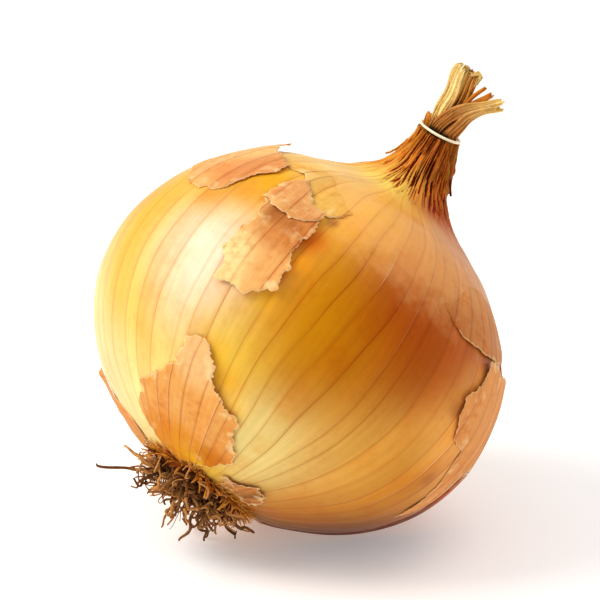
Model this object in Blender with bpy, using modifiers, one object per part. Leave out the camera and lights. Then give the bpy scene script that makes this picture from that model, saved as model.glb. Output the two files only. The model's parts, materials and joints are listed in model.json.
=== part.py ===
"""A yellow onion lying on its side: bulb, roots, loose papery skins, and the dried leaf stub at its neck.

Units are metres and +Z is up. The origin is the middle of the small flat spot that the onion rests on.
The onion's own axis lies in the XZ plane, with the neck towards +X and raised by BULB_TILT. Every piece
is modelled along that axis, with the neck at +Z, X on the onion's top side and Y on its front side, and
one empty then lays them all down. "phi" is the angle round the axis in degrees, from the top side
towards the front side, and "s" is the way along the skin from the middle of the root end, in mm.
"""
import math

import bpy
import numpy as np
from mathutils import Matrix, Vector
from mathutils.geometry import delaunay_2d_cdt

MM = 0.001
GAP = 0.3 * MM

# The bulb's outline: the distance along the axis from its widest place, and the radius there, in mm.
BULB_OUTLINE = [(-34.4, 10.4), (-31.7, 19.5), (-24.0, 31.6), (-13.0, 39.6), (0.0, 42.1), (12.0, 39.3),
                (22.0, 32.7), (28.5, 25.7), (32.5, 18.8), (36.5, 12.0), (42.0, 7.3), (50.8, 4.6)]
OUTLINE_STEPS = 3
BULB_SIDES = 60

# How the onion lies. It is sunk by the depth of its flat spot.
BULB_TILT = math.radians(43.0)
CENTRE_HEIGHT = 38.9 * MM
CENTRE_BACK = 8.1 * MM

# The neck leans towards the front as it rises, and ends in an open collar.
NECK_START = 26.0 * MM
NECK_TOP = 50.8 * MM
NECK_LEAN = math.radians(28.0)
NECK_LEAN_TOWARDS = math.radians(34.0)
COLLAR_RADIUS = 3.75 * MM
COLLAR_DEPTH = 3.2 * MM
RING_RADIUS = 4.4 * MM
RING_THICKNESS = 0.55 * MM
STUB_FRONT = math.radians(48.75)

PLATE_RADIUS = 9.8 * MM
PLATE_DEPTH = 2.4 * MM

# Roots, in mm. The longer ones have a place of their own; the others are spread over the plate.
ROOT_RADIUS = 0.42
ROOT_TIP_SHARE = 0.55
ROOT_STEPS = 9
ROOT_CLEARANCE = 0.35
SHORT_ROOTS = 22
SHORT_ROOT_LENGTHS = (3.5, 7.5)
ROOT_SEED = 7
# Where roots touch the ground, as X and Y, and where each starts on the plate.
GROUND_ROOTS = [((-23.4, -0.2), (-6.5, 3.5)), ((-27.4, 5.5), (-6.8, -1.5)), ((-27.0, 11.0), (-4.0, -6.0))]
# Where the other long roots start on the plate, and where they end along the onion's own axes.
FREE_ROOTS = [((4.0, -6.5), (12.8, -13.4, -43.8)), ((6.8, -3.5), (12.4, -11.1, -36.9)),
              ((-4.5, 6.8), (-10.9, 9.9, -36.6)), ((-3.0, 2.0), (-3.8, 1.6, -42.7)),
              ((-0.5, -4.5), (-1.3, -0.9, -42.2))]

SKIN_THICKNESS = 0.35
SKIN_GRID = 4.2
TEAR_STEP = 2.6
TEAR_DEPTH = 0.4

# Loose skins as corners of (phi, s, height over the bulb in mm), going round the edge.
SKINS = {
    "top_flake": [(-17, 72.5, 0.4), (-9, 70, 0.3), (-4, 69.4, 0.3), (2.5, 71, 0.3), (5.5, 76, 0.3),
                  (10.5, 81, 0.6), (9.5, 85, 0.9), (1.5, 88, 1.1), (-15, 95.5, 1.2), (-19, 95.5, 1.5),
                  (-24, 90, 0.5), (-30, 83, 0.3), (-29, 77, 0.3)],
    "front_flake": [(16.5, 73.7, 0.5), (16, 77.7, 0.4), (20, 83.4, 0.4), (28.5, 77.4, 0.5),
                    (33, 76.9, 0.8), (35, 71.4, 1.1), (34, 66.9, 1.1), (36, 63.6, 1.1), (37, 58.6, 1.2),
                    (31, 55.2, 1.2), (20.5, 54.6, 0.9), (21, 57.4, 0.8), (17.5, 60.6, 0.7), (19.5, 69.4, 0.5)],
    "root_fan": [(22, 43.1, 0.5), (27, 43.9, 0.8), (31, 41.4, 1.2), (33.5, 37.9, 1.2), (41, 33.9, 0.9),
                 (45.5, 33.9, 0.8), (48.5, 31.4, 0.7), (50, 28.6, 0.6), (54.5, 25.9, 0.6), (57, 22.4, 0.5),
                 (53, 20.1, 0.4), (47, 16, 0.3), (34, 16.5, 0.3), (4, 16, 0.3), (-6, 21, 0.3),
                 (-5, 24.4, 0.3), (0, 26, 0.3), (1, 29.6, 0.3), (10, 32.4, 0.3), (17, 36, 0.3)],
    "left_sliver": [(-49, 29.5, 0.6), (-48, 24, 0.4), (-42, 20, 0.3), (-28, 16.5, 0.3), (-25, 13.6, 0.3),
                    (-62, 13, 0.3), (-78, 17, 0.4), (-70, 26, 0.8), (-56, 30, 0.7)],
    "root_flake": [(60, 17.6, 0.4), (68.5, 18.4, 0.5), (76.5, 21.9, 0.7), (81.5, 21.6, 0.8),
                   (87, 19.6, 0.8), (92.5, 17.1, 0.6), (90, 14.2, 0.4), (64, 13.8, 0.3)],
    "upper_right_skin": [(80, 76.2, 0.3), (93.5, 75.9, 0.5), (98.5, 76.4, 0.5), (103.5, 76.9, 0.5),
                         (112, 78.4, 0.5), (117, 81, 0.4), (118, 88, 0.3), (115, 97, 0.3),
                         (100, 99, 0.3), (84, 96, 0.3), (79, 86, 0.3)],
    "lower_right_skin": [(104, 75.8, 0.8), (113, 76.6, 0.8), (123, 77.6, 1.0), (128, 77.8, 1.2),
                         (140, 74, 0.6), (147, 66, 0.3), (142, 60, 0.3), (128, 58.6, 0.3), (124, 54, 0.3),
                         (122, 41, 0.3), (118.5, 45.4, 0.3), (115, 52, 0.4), (110.5, 58.9, 0.5),
                         (104, 58.6, 0.6), (97, 65.4, 0.8), (101.5, 69.7, 0.8)],
    "far_side_skin": [(122, 83.8, 0.6), (121, 80, 0.8), (132, 80.4, 0.8), (150, 78, 0.5), (160, 82, 0.3),
                      (158, 91, 0.3), (136, 93, 0.3), (123, 89, 0.3)],
    "underside_skin": [(131, 56.4, 0.6), (128, 50.4, 0.3), (127, 45.4, 0.3), (126, 35, 0.3),
                       (128, 23, 0.3), (136, 16, 0.3), (158, 15, 0.3), (157, 30, 0.3), (156, 42, 0.3),
                       (153, 50, 0.5), (149, 56, 0.8)],
    "back_flake": [(228, 58, 0.3), (226, 70, 0.5), (236, 81, 0.9), (252, 84, 1.0), (262, 76, 0.6),
                   (258, 64, 0.3), (247, 57, 0.3)],
    "rear_root_flake": [(214, 16, 0.3), (210, 27, 0.5), (222, 36, 0.8), (238, 33, 0.8), (250, 24, 0.4),
                        (246, 16, 0.3)],
    "neck_shred_left": [(-22, 120, 0.3), (-62, 120, 0.3), (-53, 117, 0.5), (-44, 114.5, 0.8), (-34, 117, 0.5)],
    "neck_shred_right": [(104, 123, 0.3), (152, 123, 0.3), (150, 117, 0.7), (128, 115, 0.9),
                         (108, 118, 0.5)],
}
UNTORN = ("neck_shred_left", "neck_shred_right")

# The dried leaves in the collar as stations of (right, front, rise, half width, half depth) in mm, seen
# from the front: the rise is measured from the ring.
STUB_LEAVES = {
    "tall_leaf": [(-0.6, -0.8, -2.3, 2.0, 1.1), (-0.9, -0.8, 1, 2.3, 1.15), (-1.4, -0.9, 4, 2.5, 1.2),
                  (-1.1, -0.9, 9, 2.7, 1.3), (-1.6, -1.0, 13.4, 2.8, 1.2)],
    "bent_leaf": [(0.4, 1.75, -2.3, 2.2, 0.75), (0.5, 2.0, 1.5, 2.7, 0.9), (1.1, 2.0, 4.4, 2.6, 0.9),
                  (2.8, 1.8, 7.4, 1.9, 0.8), (5.0, 1.6, 9.6, 1.5, 0.6), (7.3, 1.4, 11.0, 1.4, 0.4)],
    "thin_strand": [(2.3, -0.9, -2.0, 0.5, 0.4), (2.4, -0.9, 2, 0.5, 0.4), (2.6, -0.9, 6, 0.6, 0.4),
                    (2.8, -0.9, 9, 0.6, 0.35), (3.1, -1.0, 12.4, 0.5, 0.3)],
    "wide_strand": [(2.6, 0.3, -2.0, 0.6, 0.35), (2.7, 0.3, 2, 0.8, 0.4), (2.9, 0.3, 6, 0.9, 0.4),
                    (3.5, 0.3, 9, 0.9, 0.35), (4.7, 0.2, 12.2, 0.8, 0.3)],
    "collar_leaf": [(-2.9, 0.9, -2.0, 0.45, 0.45), (-3.2, 0.9, 0.2, 0.5, 0.5), (-3.5, 0.8, 1.9, 0.4, 0.4)],
}
LEAF_SIDES = 12


# ---------------------------------------------------------------- shapes that follow a rule

def smooth_line(points, steps):
    """Points of a smooth line through the given ones."""
    pts = [Vector(p) for p in points]
    ends = [pts[0] * 2 - pts[1]] + pts + [pts[-1] * 2 - pts[-2]]
    line = []
    for a, b, c, d in zip(ends, ends[1:], ends[2:], ends[3:]):
        for k in range(steps):
            u = k / steps
            line.append(0.5 * (2 * b + (c - a) * u + (2 * a - 5 * b + 4 * c - d) * u * u
                               + (3 * b - a - 3 * c + d) * u ** 3))
    line.append(pts[-1])
    return line


def lean(point):
    """Moves a point of a straight onion to where the leaning neck has it."""
    rise = min(point.z, NECK_TOP) - NECK_START
    if rise <= 0.0:
        return point
    bend_radius = (NECK_TOP - NECK_START) / NECK_LEAN
    angle = rise / bend_radius
    towards = Vector((math.cos(NECK_LEAN_TOWARDS), math.sin(NECK_LEAN_TOWARDS), 0.0))
    spine = towards * bend_radius * (1 - math.cos(angle))
    spine.z = NECK_START + bend_radius * math.sin(angle)
    turn = Matrix.Rotation(angle, 3, Vector((0, 0, 1)).cross(towards))
    return spine + turn @ Vector((point.x, point.y, max(0.0, point.z - NECK_TOP)))


class Skin:
    """The bulb's outer surface, addressed by phi and s."""

    def __init__(self):
        fine = smooth_line(BULB_OUTLINE, 12)
        steps = [(b - a).length for a, b in zip(fine, fine[1:])]
        self.t = np.array([p[0] for p in fine])
        self.r = np.array([p[1] for p in fine])
        self.s = np.concatenate([[0.0], np.cumsum(steps)]) + BULB_OUTLINE[0][1]

    def radius(self, s):
        return float(np.interp(s, self.s, self.r))

    def point(self, phi, s, lift):
        """A point at a height of lift mm over the skin, in metres."""
        dt = np.interp(s + 0.5, self.s, self.t) - np.interp(s - 0.5, self.s, self.t)
        dr = np.interp(s + 0.5, self.s, self.r) - np.interp(s - 0.5, self.s, self.r)
        r = self.radius(s) + lift * dt / math.hypot(dt, dr)
        t = np.interp(s, self.s, self.t) - lift * dr / math.hypot(dt, dr)
        angle = math.radians(phi)
        return lean(Vector((r * math.cos(angle), r * math.sin(angle), t)) * MM)

    def clearance(self, point):
        """How far a point at the root end, in mm, is from the bulb."""
        radius = math.hypot(point.x, point.y)
        return float(np.min(np.hypot(self.t - point.z, self.r - radius)))


SKIN = Skin()


# ---------------------------------------------------------------- scene helpers

def clear_scene():
    for obj in list(bpy.data.objects):
        bpy.data.objects.remove(obj, do_unlink=True)


def new_collection(name):
    collection = bpy.data.collections.new(name)
    bpy.context.scene.collection.children.link(collection)
    return collection


def material(name, colour, roughness):
    mat = bpy.data.materials.new(name)
    mat.use_nodes = True
    shader = mat.node_tree.nodes["Principled BSDF"]
    shader.inputs["Base Color"].default_value = (*colour, 1.0)
    shader.inputs["Roughness"].default_value = roughness
    shader.inputs["Metallic"].default_value = 0.0
    return mat


def add_part(name, data, mat, collection, parent):
    obj = bpy.data.objects.new(name, data)
    collection.objects.link(obj)
    obj.parent = parent
    data.materials.clear()
    data.materials.append(mat)
    return obj


def add_mesh_part(name, mesh, mat, collection, parent):
    obj = add_part(name, mesh, mat, collection, parent)
    mesh.shade_smooth()
    mesh.set_sharp_from_angle(angle=math.radians(40))
    return obj


def turned_mesh(name, outline, sides):
    """A closed turned body; the outline starts on the axis at the top and ends on it at the bottom."""
    mesh = bpy.data.meshes.new(name)
    edges = [(i, i + 1) for i in range(len(outline) - 1)]
    mesh.from_pydata([(r, 0.0, z) for r, z in outline], edges, [])
    blank = bpy.data.objects.new(name + "_outline", mesh)
    bpy.context.scene.collection.objects.link(blank)
    screw = blank.modifiers.new("turn", "SCREW")
    screw.axis = "Z"
    screw.steps = sides
    screw.render_steps = sides
    screw.use_merge_vertices = True
    screw.merge_threshold = 0.00001
    bpy.context.view_layer.update()
    graph = bpy.context.evaluated_depsgraph_get()
    turned = bpy.data.meshes.new_from_object(blank.evaluated_get(graph))
    bpy.data.objects.remove(blank, do_unlink=True)
    turned.name = name
    return turned


def lean_mesh(mesh):
    for vertex in mesh.vertices:
        vertex.co = lean(vertex.co.copy())


# ---------------------------------------------------------------- bulb, root plate and ring

def make_ground_cutter(cutters):
    """A block whose top is the ground, which leaves the bulb its flat spot."""
    bpy.ops.mesh.primitive_cube_add(size=1.0)
    ground = bpy.context.object
    ground.name = "ground_cutter"
    ground.scale = (0.2, 0.2, 0.02)
    ground.location = (0.0, 0.0, -0.01)
    ground.display_type = "WIRE"
    ground.hide_render = True
    for collection in list(ground.users_collection):
        collection.objects.unlink(ground)
    cutters.objects.link(ground)
    return ground


def make_bulb(mat, parts, parent, ground):
    """The bulb with its shoulder, neck and open collar, cut flat where it rests."""
    side = [(p[1] * MM, p[0] * MM) for p in smooth_line(BULB_OUTLINE, OUTLINE_STEPS)]
    floor = NECK_TOP - COLLAR_DEPTH
    collar = [(0.0, floor), (COLLAR_RADIUS - GAP, floor + GAP), (COLLAR_RADIUS, NECK_TOP)]
    root_end = (0.0, side[0][1])
    mesh = turned_mesh("bulb", collar + side[::-1] + [root_end], BULB_SIDES)
    lean_mesh(mesh)
    bulb = add_mesh_part("bulb", mesh, mat, parts, parent)
    cut = bulb.modifiers.new("flat_spot", "BOOLEAN")
    cut.operation = "DIFFERENCE"
    cut.solver = "EXACT"
    cut.object = ground


def plate_bottom(radius):
    """The height of the root plate's rounded underside at a distance from its middle."""
    top = BULB_OUTLINE[0][0] * MM - GAP
    return top - PLATE_DEPTH * (1 - 0.75 * (radius / PLATE_RADIUS) ** 2)


def make_root_plate(mat, parts, parent):
    top = BULB_OUTLINE[0][0] * MM - GAP
    rings = 4
    radii = [PLATE_RADIUS * k / rings for k in range(rings, -1, -1)]
    dome = [(radius, plate_bottom(radius)) for radius in radii]
    mesh = turned_mesh("root_plate", [(0.0, top), (PLATE_RADIUS - GAP, top)] + dome, 36)
    add_mesh_part("root_plate", mesh, mat, parts, parent)


def make_ring(mat, parts, parent):
    bpy.ops.mesh.primitive_torus_add(major_radius=RING_RADIUS, minor_radius=RING_THICKNESS / 2,
                                     major_segments=36, minor_segments=8)
    torus = bpy.context.object
    mesh = torus.data
    bpy.data.objects.remove(torus, do_unlink=True)
    for vertex in mesh.vertices:
        vertex.co.z += NECK_TOP + GAP + RING_THICKNESS / 2
    lean_mesh(mesh)
    add_mesh_part("neck_ring", mesh, mat, parts, parent)


# ---------------------------------------------------------------- roots

def bezier_line(a, b, c, d, steps):
    line = []
    for k in range(steps + 1):
        u = k / steps
        v = 1 - u
        line.append(a * v ** 3 + b * 3 * v * v * u + c * 3 * v * u * u + d * u ** 3)
    return line


def root_start(x, y):
    """A root's first point under the plate, in mm."""
    return Vector((x, y, plate_bottom(math.hypot(x, y) * MM) / MM - GAP / MM - 0.15))


def long_root(start, tip):
    """A root that leaves the plate squarely and bends over to its tip."""
    first = root_start(*start)
    outward = Vector((start[0], start[1], -9.0)).normalized()
    reach = (tip - first).length
    second = first + outward * reach * 0.4
    third = tip + (second - tip) * 0.35 + Vector((0, 0, -0.06)) * reach
    return bezier_line(first, second, third, tip, ROOT_STEPS)


def short_root(rng):
    """A root at a random place on the plate, which spreads outwards and curls."""
    radius = 8.6 * math.sqrt(rng.uniform(0.0, 1.0))
    angle = rng.uniform(0.0, 2 * math.pi)
    first = root_start(radius * math.cos(angle), radius * math.sin(angle))
    spread = math.radians(8 + 62 * (radius / 8.6) ** 1.5)
    way = Vector((math.cos(angle) * math.sin(spread), math.sin(angle) * math.sin(spread), -math.cos(spread)))
    length = rng.uniform(*SHORT_ROOT_LENGTHS)
    bend = Vector(rng.uniform(-1.0, 1.0, 3)) * length * 0.35
    sag = DOWN * length * 0.15
    tip = first + way * length + bend + sag
    return bezier_line(first, first + way * length * 0.35, first + way * length * 0.75 + bend, tip, ROOT_STEPS)


def root_radius(k):
    return ROOT_RADIUS * (1 - (1 - ROOT_TIP_SHARE) * k / ROOT_STEPS)


def is_clear(line, others, laying):
    """Whether a root misses the bulb with its skins, the plate, the ground and the other roots."""
    for k, point in enumerate(line):
        radius = root_radius(k)
        off_axis = math.hypot(point.x, point.y)
        if (laying @ (point * MM)).z < (radius + 0.3) * MM:
            return False
        if off_axis > PLATE_RADIUS / MM - 0.5 and SKIN.clearance(point) < radius + 1.5:
            return False
        if k > 0 and off_axis < 11.0 and point.z > plate_bottom(off_axis * MM) / MM - radius - 0.3:
            return False
    return all(gap_between(line, other) > 2 * ROOT_RADIUS + ROOT_CLEARANCE for other in others)


def gap_between(line, other):
    """The least distance between two roots' middle lines, in mm."""
    dense = []
    for pts in (line, other):
        halves = [(a + b) / 2 for a, b in zip(pts, pts[1:])]
        dense.append(np.array([tuple(p) for p in pts + halves]))
    return float(np.min(np.linalg.norm(dense[0][:, None] - dense[1][None], axis=2)))


def make_root(name, line, mat, parts, parent):
    curve = bpy.data.curves.new(name, "CURVE")
    curve.dimensions = "3D"
    curve.bevel_depth = ROOT_RADIUS * MM
    curve.bevel_resolution = 1
    curve.use_fill_caps = True
    spline = curve.splines.new("POLY")
    spline.points.add(len(line) - 1)
    for k, point in enumerate(line):
        spline.points[k].co = (*(point * MM), 1.0)
        spline.points[k].radius = root_radius(k) / ROOT_RADIUS
    spline.use_smooth = True
    add_part(name, curve, mat, parts, parent)


def root_lines(laying):
    """The middle lines of all roots: first those that have their own place, then the scattered ones."""
    lines = []
    raised = (ROOT_RADIUS * ROOT_TIP_SHARE + 0.03) * MM
    for ground, start in GROUND_ROOTS:
        tip = laying.inverted() @ Vector((ground[0] * MM, ground[1] * MM, raised))
        lines.append(long_root(start, tip / MM))
    for start, tip in FREE_ROOTS:
        lines.append(long_root(start, Vector(tip)))
    rng = np.random.default_rng(ROOT_SEED)
    wanted = len(lines) + SHORT_ROOTS
    while len(lines) < wanted:
        line = short_root(rng)
        if is_clear(line, lines, laying):
            lines.append(line)
    return lines


# ---------------------------------------------------------------- loose skins

def flat_place(phi, s, middle_radius):
    return Vector((math.radians(phi) * middle_radius, s))


def torn_edge(corners, middle_radius, rng, depth):
    """The corners joined by lines that wander a little, as torn paper does."""
    flat = [flat_place(phi, s, middle_radius) for phi, s, lift in corners]
    edge = []
    for a, b in zip(flat, flat[1:] + flat[:1]):
        count = max(1, round((b - a).length / TEAR_STEP))
        across = Vector((a.y - b.y, b.x - a.x)).normalized()
        for k in range(count):
            wander = 0.0 if k == 0 else rng.uniform(-depth, depth)
            edge.append(a.lerp(b, k / count) + across * wander)
    return edge


def is_inside(point, edge):
    """Whether a flat point is inside an outline and well away from it."""
    inside = False
    for a, b in zip(edge, edge[1:] + edge[:1]):
        if (a.y > point.y) != (b.y > point.y):
            inside ^= point.x < a.x + (point.y - a.y) / (b.y - a.y) * (b.x - a.x)
        along = max(0.0, min(1.0, (point - a).dot(b - a) / (b - a).length_squared))
        if (a.lerp(b, along) - point).length < 0.3 * SKIN_GRID:
            return False
    return inside


def grid_inside(edge):
    xs = [p.x for p in edge]
    ys = [p.y for p in edge]
    found = []
    for row, y in enumerate(np.arange(min(ys), max(ys), SKIN_GRID * 0.87)):
        for x in np.arange(min(xs) + (row % 2) * SKIN_GRID / 2, max(xs), SKIN_GRID):
            if is_inside(Vector((x, y)), edge):
                found.append(Vector((x, y)))
    return found


def lift_at(place, corners, middle_radius):
    """The height over the bulb, blended from the corners' heights."""
    total = 0.0
    weights = 0.0
    for phi, s, lift in corners:
        weight = 1.0 / ((flat_place(phi, s, middle_radius) - place).length_squared + 0.5)
        total += lift * weight
        weights += weight
    return total / weights


def make_skin(name, corners, mat, parts, parent, rng):
    """A thin torn skin that follows the bulb a little above it."""
    middle_radius = sum(SKIN.radius(s) for phi, s, lift in corners) / len(corners)
    edge = torn_edge(corners, middle_radius, rng, 0.0 if name in UNTORN else TEAR_DEPTH)
    places = edge + grid_inside(edge)
    flat, _, faces, _, _, _ = delaunay_2d_cdt(places, [], [list(range(len(edge)))], 1, 1e-6)
    verts = []
    for place in flat:
        phi = math.degrees(place.x / middle_radius)
        verts.append(SKIN.point(phi, place.y, lift_at(place, corners, middle_radius)))
    mesh = bpy.data.meshes.new(name)
    mesh.from_pydata(verts, [], [tuple(face) for face in faces])
    mesh.update()
    middle = mesh.polygons[0].center
    outward = Vector((middle.x, middle.y, 0.0)) + Vector((0, 0, 0.3 * middle.z))
    if mesh.polygons[0].normal.dot(outward) < 0:
        mesh.flip_normals()
    skin = add_mesh_part(name, mesh, mat, parts, parent)
    thicken = skin.modifiers.new("thickness", "SOLIDIFY")
    thicken.thickness = SKIN_THICKNESS * MM
    thicken.offset = 1.0


# ---------------------------------------------------------------- dried leaf stub

def stub_place(right, front, rise):
    """A place in the stub, in metres, from its position seen from the front, in mm."""
    to_front = Vector((math.cos(STUB_FRONT), math.sin(STUB_FRONT), 0.0))
    to_right = Vector((-to_front.y, to_front.x, 0.0))
    straight = (to_right * right + to_front * front) * MM
    straight.z = NECK_TOP + GAP + RING_THICKNESS / 2 + rise * MM
    return lean(straight)


def make_leaf(name, stations, mat, parts, parent):
    """A flattened leaf, lofted through oval sections."""
    rows = [tuple(row) for row in smooth_line([(r, f, h) for r, f, h, w, d in stations], 3)]
    sizes = [tuple(row) for row in smooth_line([(w, d, 0.0) for r, f, h, w, d in stations], 3)]
    verts = []
    for (right, front, rise), (width, depth, _) in zip(rows, sizes):
        for k in range(LEAF_SIDES):
            turn = 2 * math.pi * k / LEAF_SIDES
            verts.append(stub_place(right + width * math.cos(turn), front + depth * math.sin(turn), rise))
    faces = []
    for row in range(len(rows) - 1):
        for k in range(LEAF_SIDES):
            a = row * LEAF_SIDES + k
            b = row * LEAF_SIDES + (k + 1) % LEAF_SIDES
            faces.append((a, b, b + LEAF_SIDES, a + LEAF_SIDES))
    last = (len(rows) - 1) * LEAF_SIDES
    faces.append(tuple(range(LEAF_SIDES - 1, -1, -1)))
    faces.append(tuple(range(last, last + LEAF_SIDES)))
    mesh = bpy.data.meshes.new(name)
    mesh.from_pydata(verts, [], faces)
    if signed_volume(mesh) < 0:
        mesh.flip_normals()
    add_mesh_part(name, mesh, mat, parts, parent)


def signed_volume(mesh):
    """The mesh's volume, negative when its faces point inwards."""
    mesh.calc_loop_triangles()
    total = 0.0
    for tri in mesh.loop_triangles:
        a, b, c = (mesh.vertices[i].co for i in tri.vertices)
        total += a.dot(b.cross(c)) / 6
    return total


# ---------------------------------------------------------------- the whole onion

def laying_matrix():
    """Lays the onion down: its top side, its front side and its neck in the row's axes."""
    slope = math.sin(BULB_TILT)
    level = math.cos(BULB_TILT)
    turn = Matrix(((-slope, 0.0, level), (0.0, -1.0, 0.0), (level, 0.0, slope)))
    return Matrix.Translation((-CENTRE_BACK, 0.0, CENTRE_HEIGHT)) @ turn.to_4x4()


laying = laying_matrix()
DOWN = laying.to_3x3().inverted() @ Vector((0, 0, -1))


def main():
    clear_scene()
    parts = new_collection("onion")
    cutters = new_collection("cutters")
    onion = bpy.data.objects.new("onion_axis", None)
    parts.objects.link(onion)
    onion.matrix_world = laying
    bpy.context.view_layer.update()

    skin_gold = material("skin_gold", (0.78, 0.42, 0.10), 0.35)
    paper_skin = material("paper_skin", (0.70, 0.36, 0.12), 0.55)
    root_brown = material("root_brown", (0.25, 0.13, 0.05), 0.8)
    dry_leaf = material("dry_leaf", (0.66, 0.42, 0.18), 0.75)
    ring_cream = material("ring_cream", (0.88, 0.80, 0.62), 0.5)

    make_bulb(skin_gold, parts, onion, make_ground_cutter(cutters))
    make_root_plate(root_brown, parts, onion)
    make_ring(ring_cream, parts, onion)
    for count, line in enumerate(root_lines(laying)):
        make_root(f"root_{count + 1:02d}", line, root_brown, parts, onion)
    rng = np.random.default_rng(ROOT_SEED + 1)
    for name, corners in SKINS.items():
        make_skin(name, corners, paper_skin, parts, onion, rng)
    for name, stations in STUB_LEAVES.items():
        make_leaf(name, stations, dry_leaf, parts, onion)


main()
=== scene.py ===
"""The looks of a yellow onion lying on its side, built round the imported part.

Everything that has a shape of its own is built here in finer detail than the part's plain solids, in the
part's frame. The onion's own axes have the neck at +Z, X on its top side and Y on its front side. "phi" is
the angle round that axis in degrees, from the top side towards the front side, and "s" is the way along
the skin from the middle of the root end, in mm. Lengths are in mm until a piece's mesh is made, in metres.
"""
import json
import math

import bpy
import numpy as np
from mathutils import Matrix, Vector
from mathutils.geometry import delaunay_2d_cdt


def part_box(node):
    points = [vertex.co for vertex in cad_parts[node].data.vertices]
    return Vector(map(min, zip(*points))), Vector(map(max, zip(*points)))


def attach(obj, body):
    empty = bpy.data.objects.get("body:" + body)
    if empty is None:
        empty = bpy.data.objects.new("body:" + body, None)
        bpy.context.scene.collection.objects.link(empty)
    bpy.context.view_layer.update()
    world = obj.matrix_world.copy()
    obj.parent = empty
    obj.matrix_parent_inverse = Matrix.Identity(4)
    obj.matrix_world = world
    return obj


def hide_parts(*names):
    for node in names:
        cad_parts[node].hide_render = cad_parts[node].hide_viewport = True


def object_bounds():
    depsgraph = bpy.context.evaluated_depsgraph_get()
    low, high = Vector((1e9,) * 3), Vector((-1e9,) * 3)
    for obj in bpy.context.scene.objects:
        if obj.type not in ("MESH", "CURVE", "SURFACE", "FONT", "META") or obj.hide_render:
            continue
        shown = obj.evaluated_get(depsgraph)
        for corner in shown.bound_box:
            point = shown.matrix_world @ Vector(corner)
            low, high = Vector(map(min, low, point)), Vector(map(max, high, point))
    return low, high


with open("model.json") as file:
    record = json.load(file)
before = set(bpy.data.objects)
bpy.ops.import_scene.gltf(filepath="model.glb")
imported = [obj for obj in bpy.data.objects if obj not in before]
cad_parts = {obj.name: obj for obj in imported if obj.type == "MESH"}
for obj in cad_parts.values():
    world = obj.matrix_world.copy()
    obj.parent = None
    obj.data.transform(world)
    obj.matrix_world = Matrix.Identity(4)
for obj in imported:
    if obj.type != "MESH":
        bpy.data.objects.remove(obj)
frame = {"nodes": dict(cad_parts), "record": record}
cad_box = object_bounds()

# -------- the part's own sizes, in mm

WIDEST = 42.1
BULB_OUTLINE = [(-34.4, 10.4), (-31.7, 19.5), (-24.0, 31.6), (-13.0, 39.6), (0.0, 42.1), (12.0, 39.3),
                (22.0, 32.7), (28.5, 25.7), (32.5, 18.8), (36.5, 12.0), (42.0, 7.3), (50.8, 4.6)]
BULB_TILT = math.radians(43.0)
CENTRE_HEIGHT = 38.9
CENTRE_BACK = 8.1
NECK_START = 26.0
NECK_TOP = 50.8
NECK_EASE = 8.0
NECK_LEAN = math.radians(28.0)
NECK_LEAN_TOWARDS = math.radians(34.0)
COLLAR_RADIUS = 3.75
COLLAR_DEPTH = 3.2
RING_RADIUS = 4.4
RING_THICKNESS = 0.55
GAP = 0.3
STUB_FRONT = math.radians(48.75)
PLATE_RADIUS = 9.8
PLATE_DEPTH = 2.4
PLATE_MIDDLE = 0.2

bulb_low, bulb_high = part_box("bulb")
MM = (bulb_high.y - bulb_low.y) / 2 / WIDEST
REST = np.array(frame["record"]["mounts"][0]["pos_m"], float)
FLOOR_LEVEL = REST[2] / MM
CENTRE = REST / MM + np.array([-CENTRE_BACK, 0.0, CENTRE_HEIGHT])
TOP_SIDE = np.array([-math.sin(BULB_TILT), 0.0, math.cos(BULB_TILT)])
FRONT_SIDE = np.array([0.0, -1.0, 0.0])
NECK_SIDE = np.array([math.cos(BULB_TILT), 0.0, math.sin(BULB_TILT)])
AXES = np.array([TOP_SIDE, FRONT_SIDE, NECK_SIDE])


# -------- places on the onion

def smooth_line(points, steps):
    """Points of a smooth line through the given ones."""
    pts = np.array(points, float)
    ends = np.vstack([2 * pts[0] - pts[1], pts, 2 * pts[-1] - pts[-2]])
    line = []
    for a, b, c, d in zip(ends, ends[1:], ends[2:], ends[3:]):
        for u in np.arange(steps) / steps:
            line.append(0.5 * (2 * b + (c - a) * u + (2 * a - 5 * b + 4 * c - d) * u * u
                               + (3 * b - a - 3 * c + d) * u ** 3))
    return np.array(line + [pts[-1]])


FINE = smooth_line(BULB_OUTLINE, 12)
OUTLINE_T = FINE[:, 0]
OUTLINE_R = FINE[:, 1]
OUTLINE_S = BULB_OUTLINE[0][1] + np.append(0.0, np.cumsum(np.linalg.norm(np.diff(FINE, axis=0), axis=1)))
TOTAL_S = OUTLINE_S[-1]
STREAKS_END = 150.0

# The neck's middle line as it bends over: heights along the straight onion, and for each the angle, and how
# far out and up it is. The bend sets in and ends over NECK_EASE either side of NECK_START.
LINE_HEIGHT = np.linspace(NECK_START - NECK_EASE, NECK_TOP, 240)
LINE_PAST = np.minimum(LINE_HEIGHT - LINE_HEIGHT[0], 2 * NECK_EASE)
LINE_ANGLE = NECK_LEAN / (NECK_TOP - NECK_START) * (
    LINE_PAST ** 2 / (4 * NECK_EASE) + np.maximum(LINE_HEIGHT - NECK_START - NECK_EASE, 0.0))
LINE_STEP = np.diff(LINE_HEIGHT, prepend=LINE_HEIGHT[0])
LINE_OUT = np.cumsum(np.sin(LINE_ANGLE) * LINE_STEP)
LINE_UP = LINE_HEIGHT[0] + np.cumsum(np.cos(LINE_ANGLE) * LINE_STEP)


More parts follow.
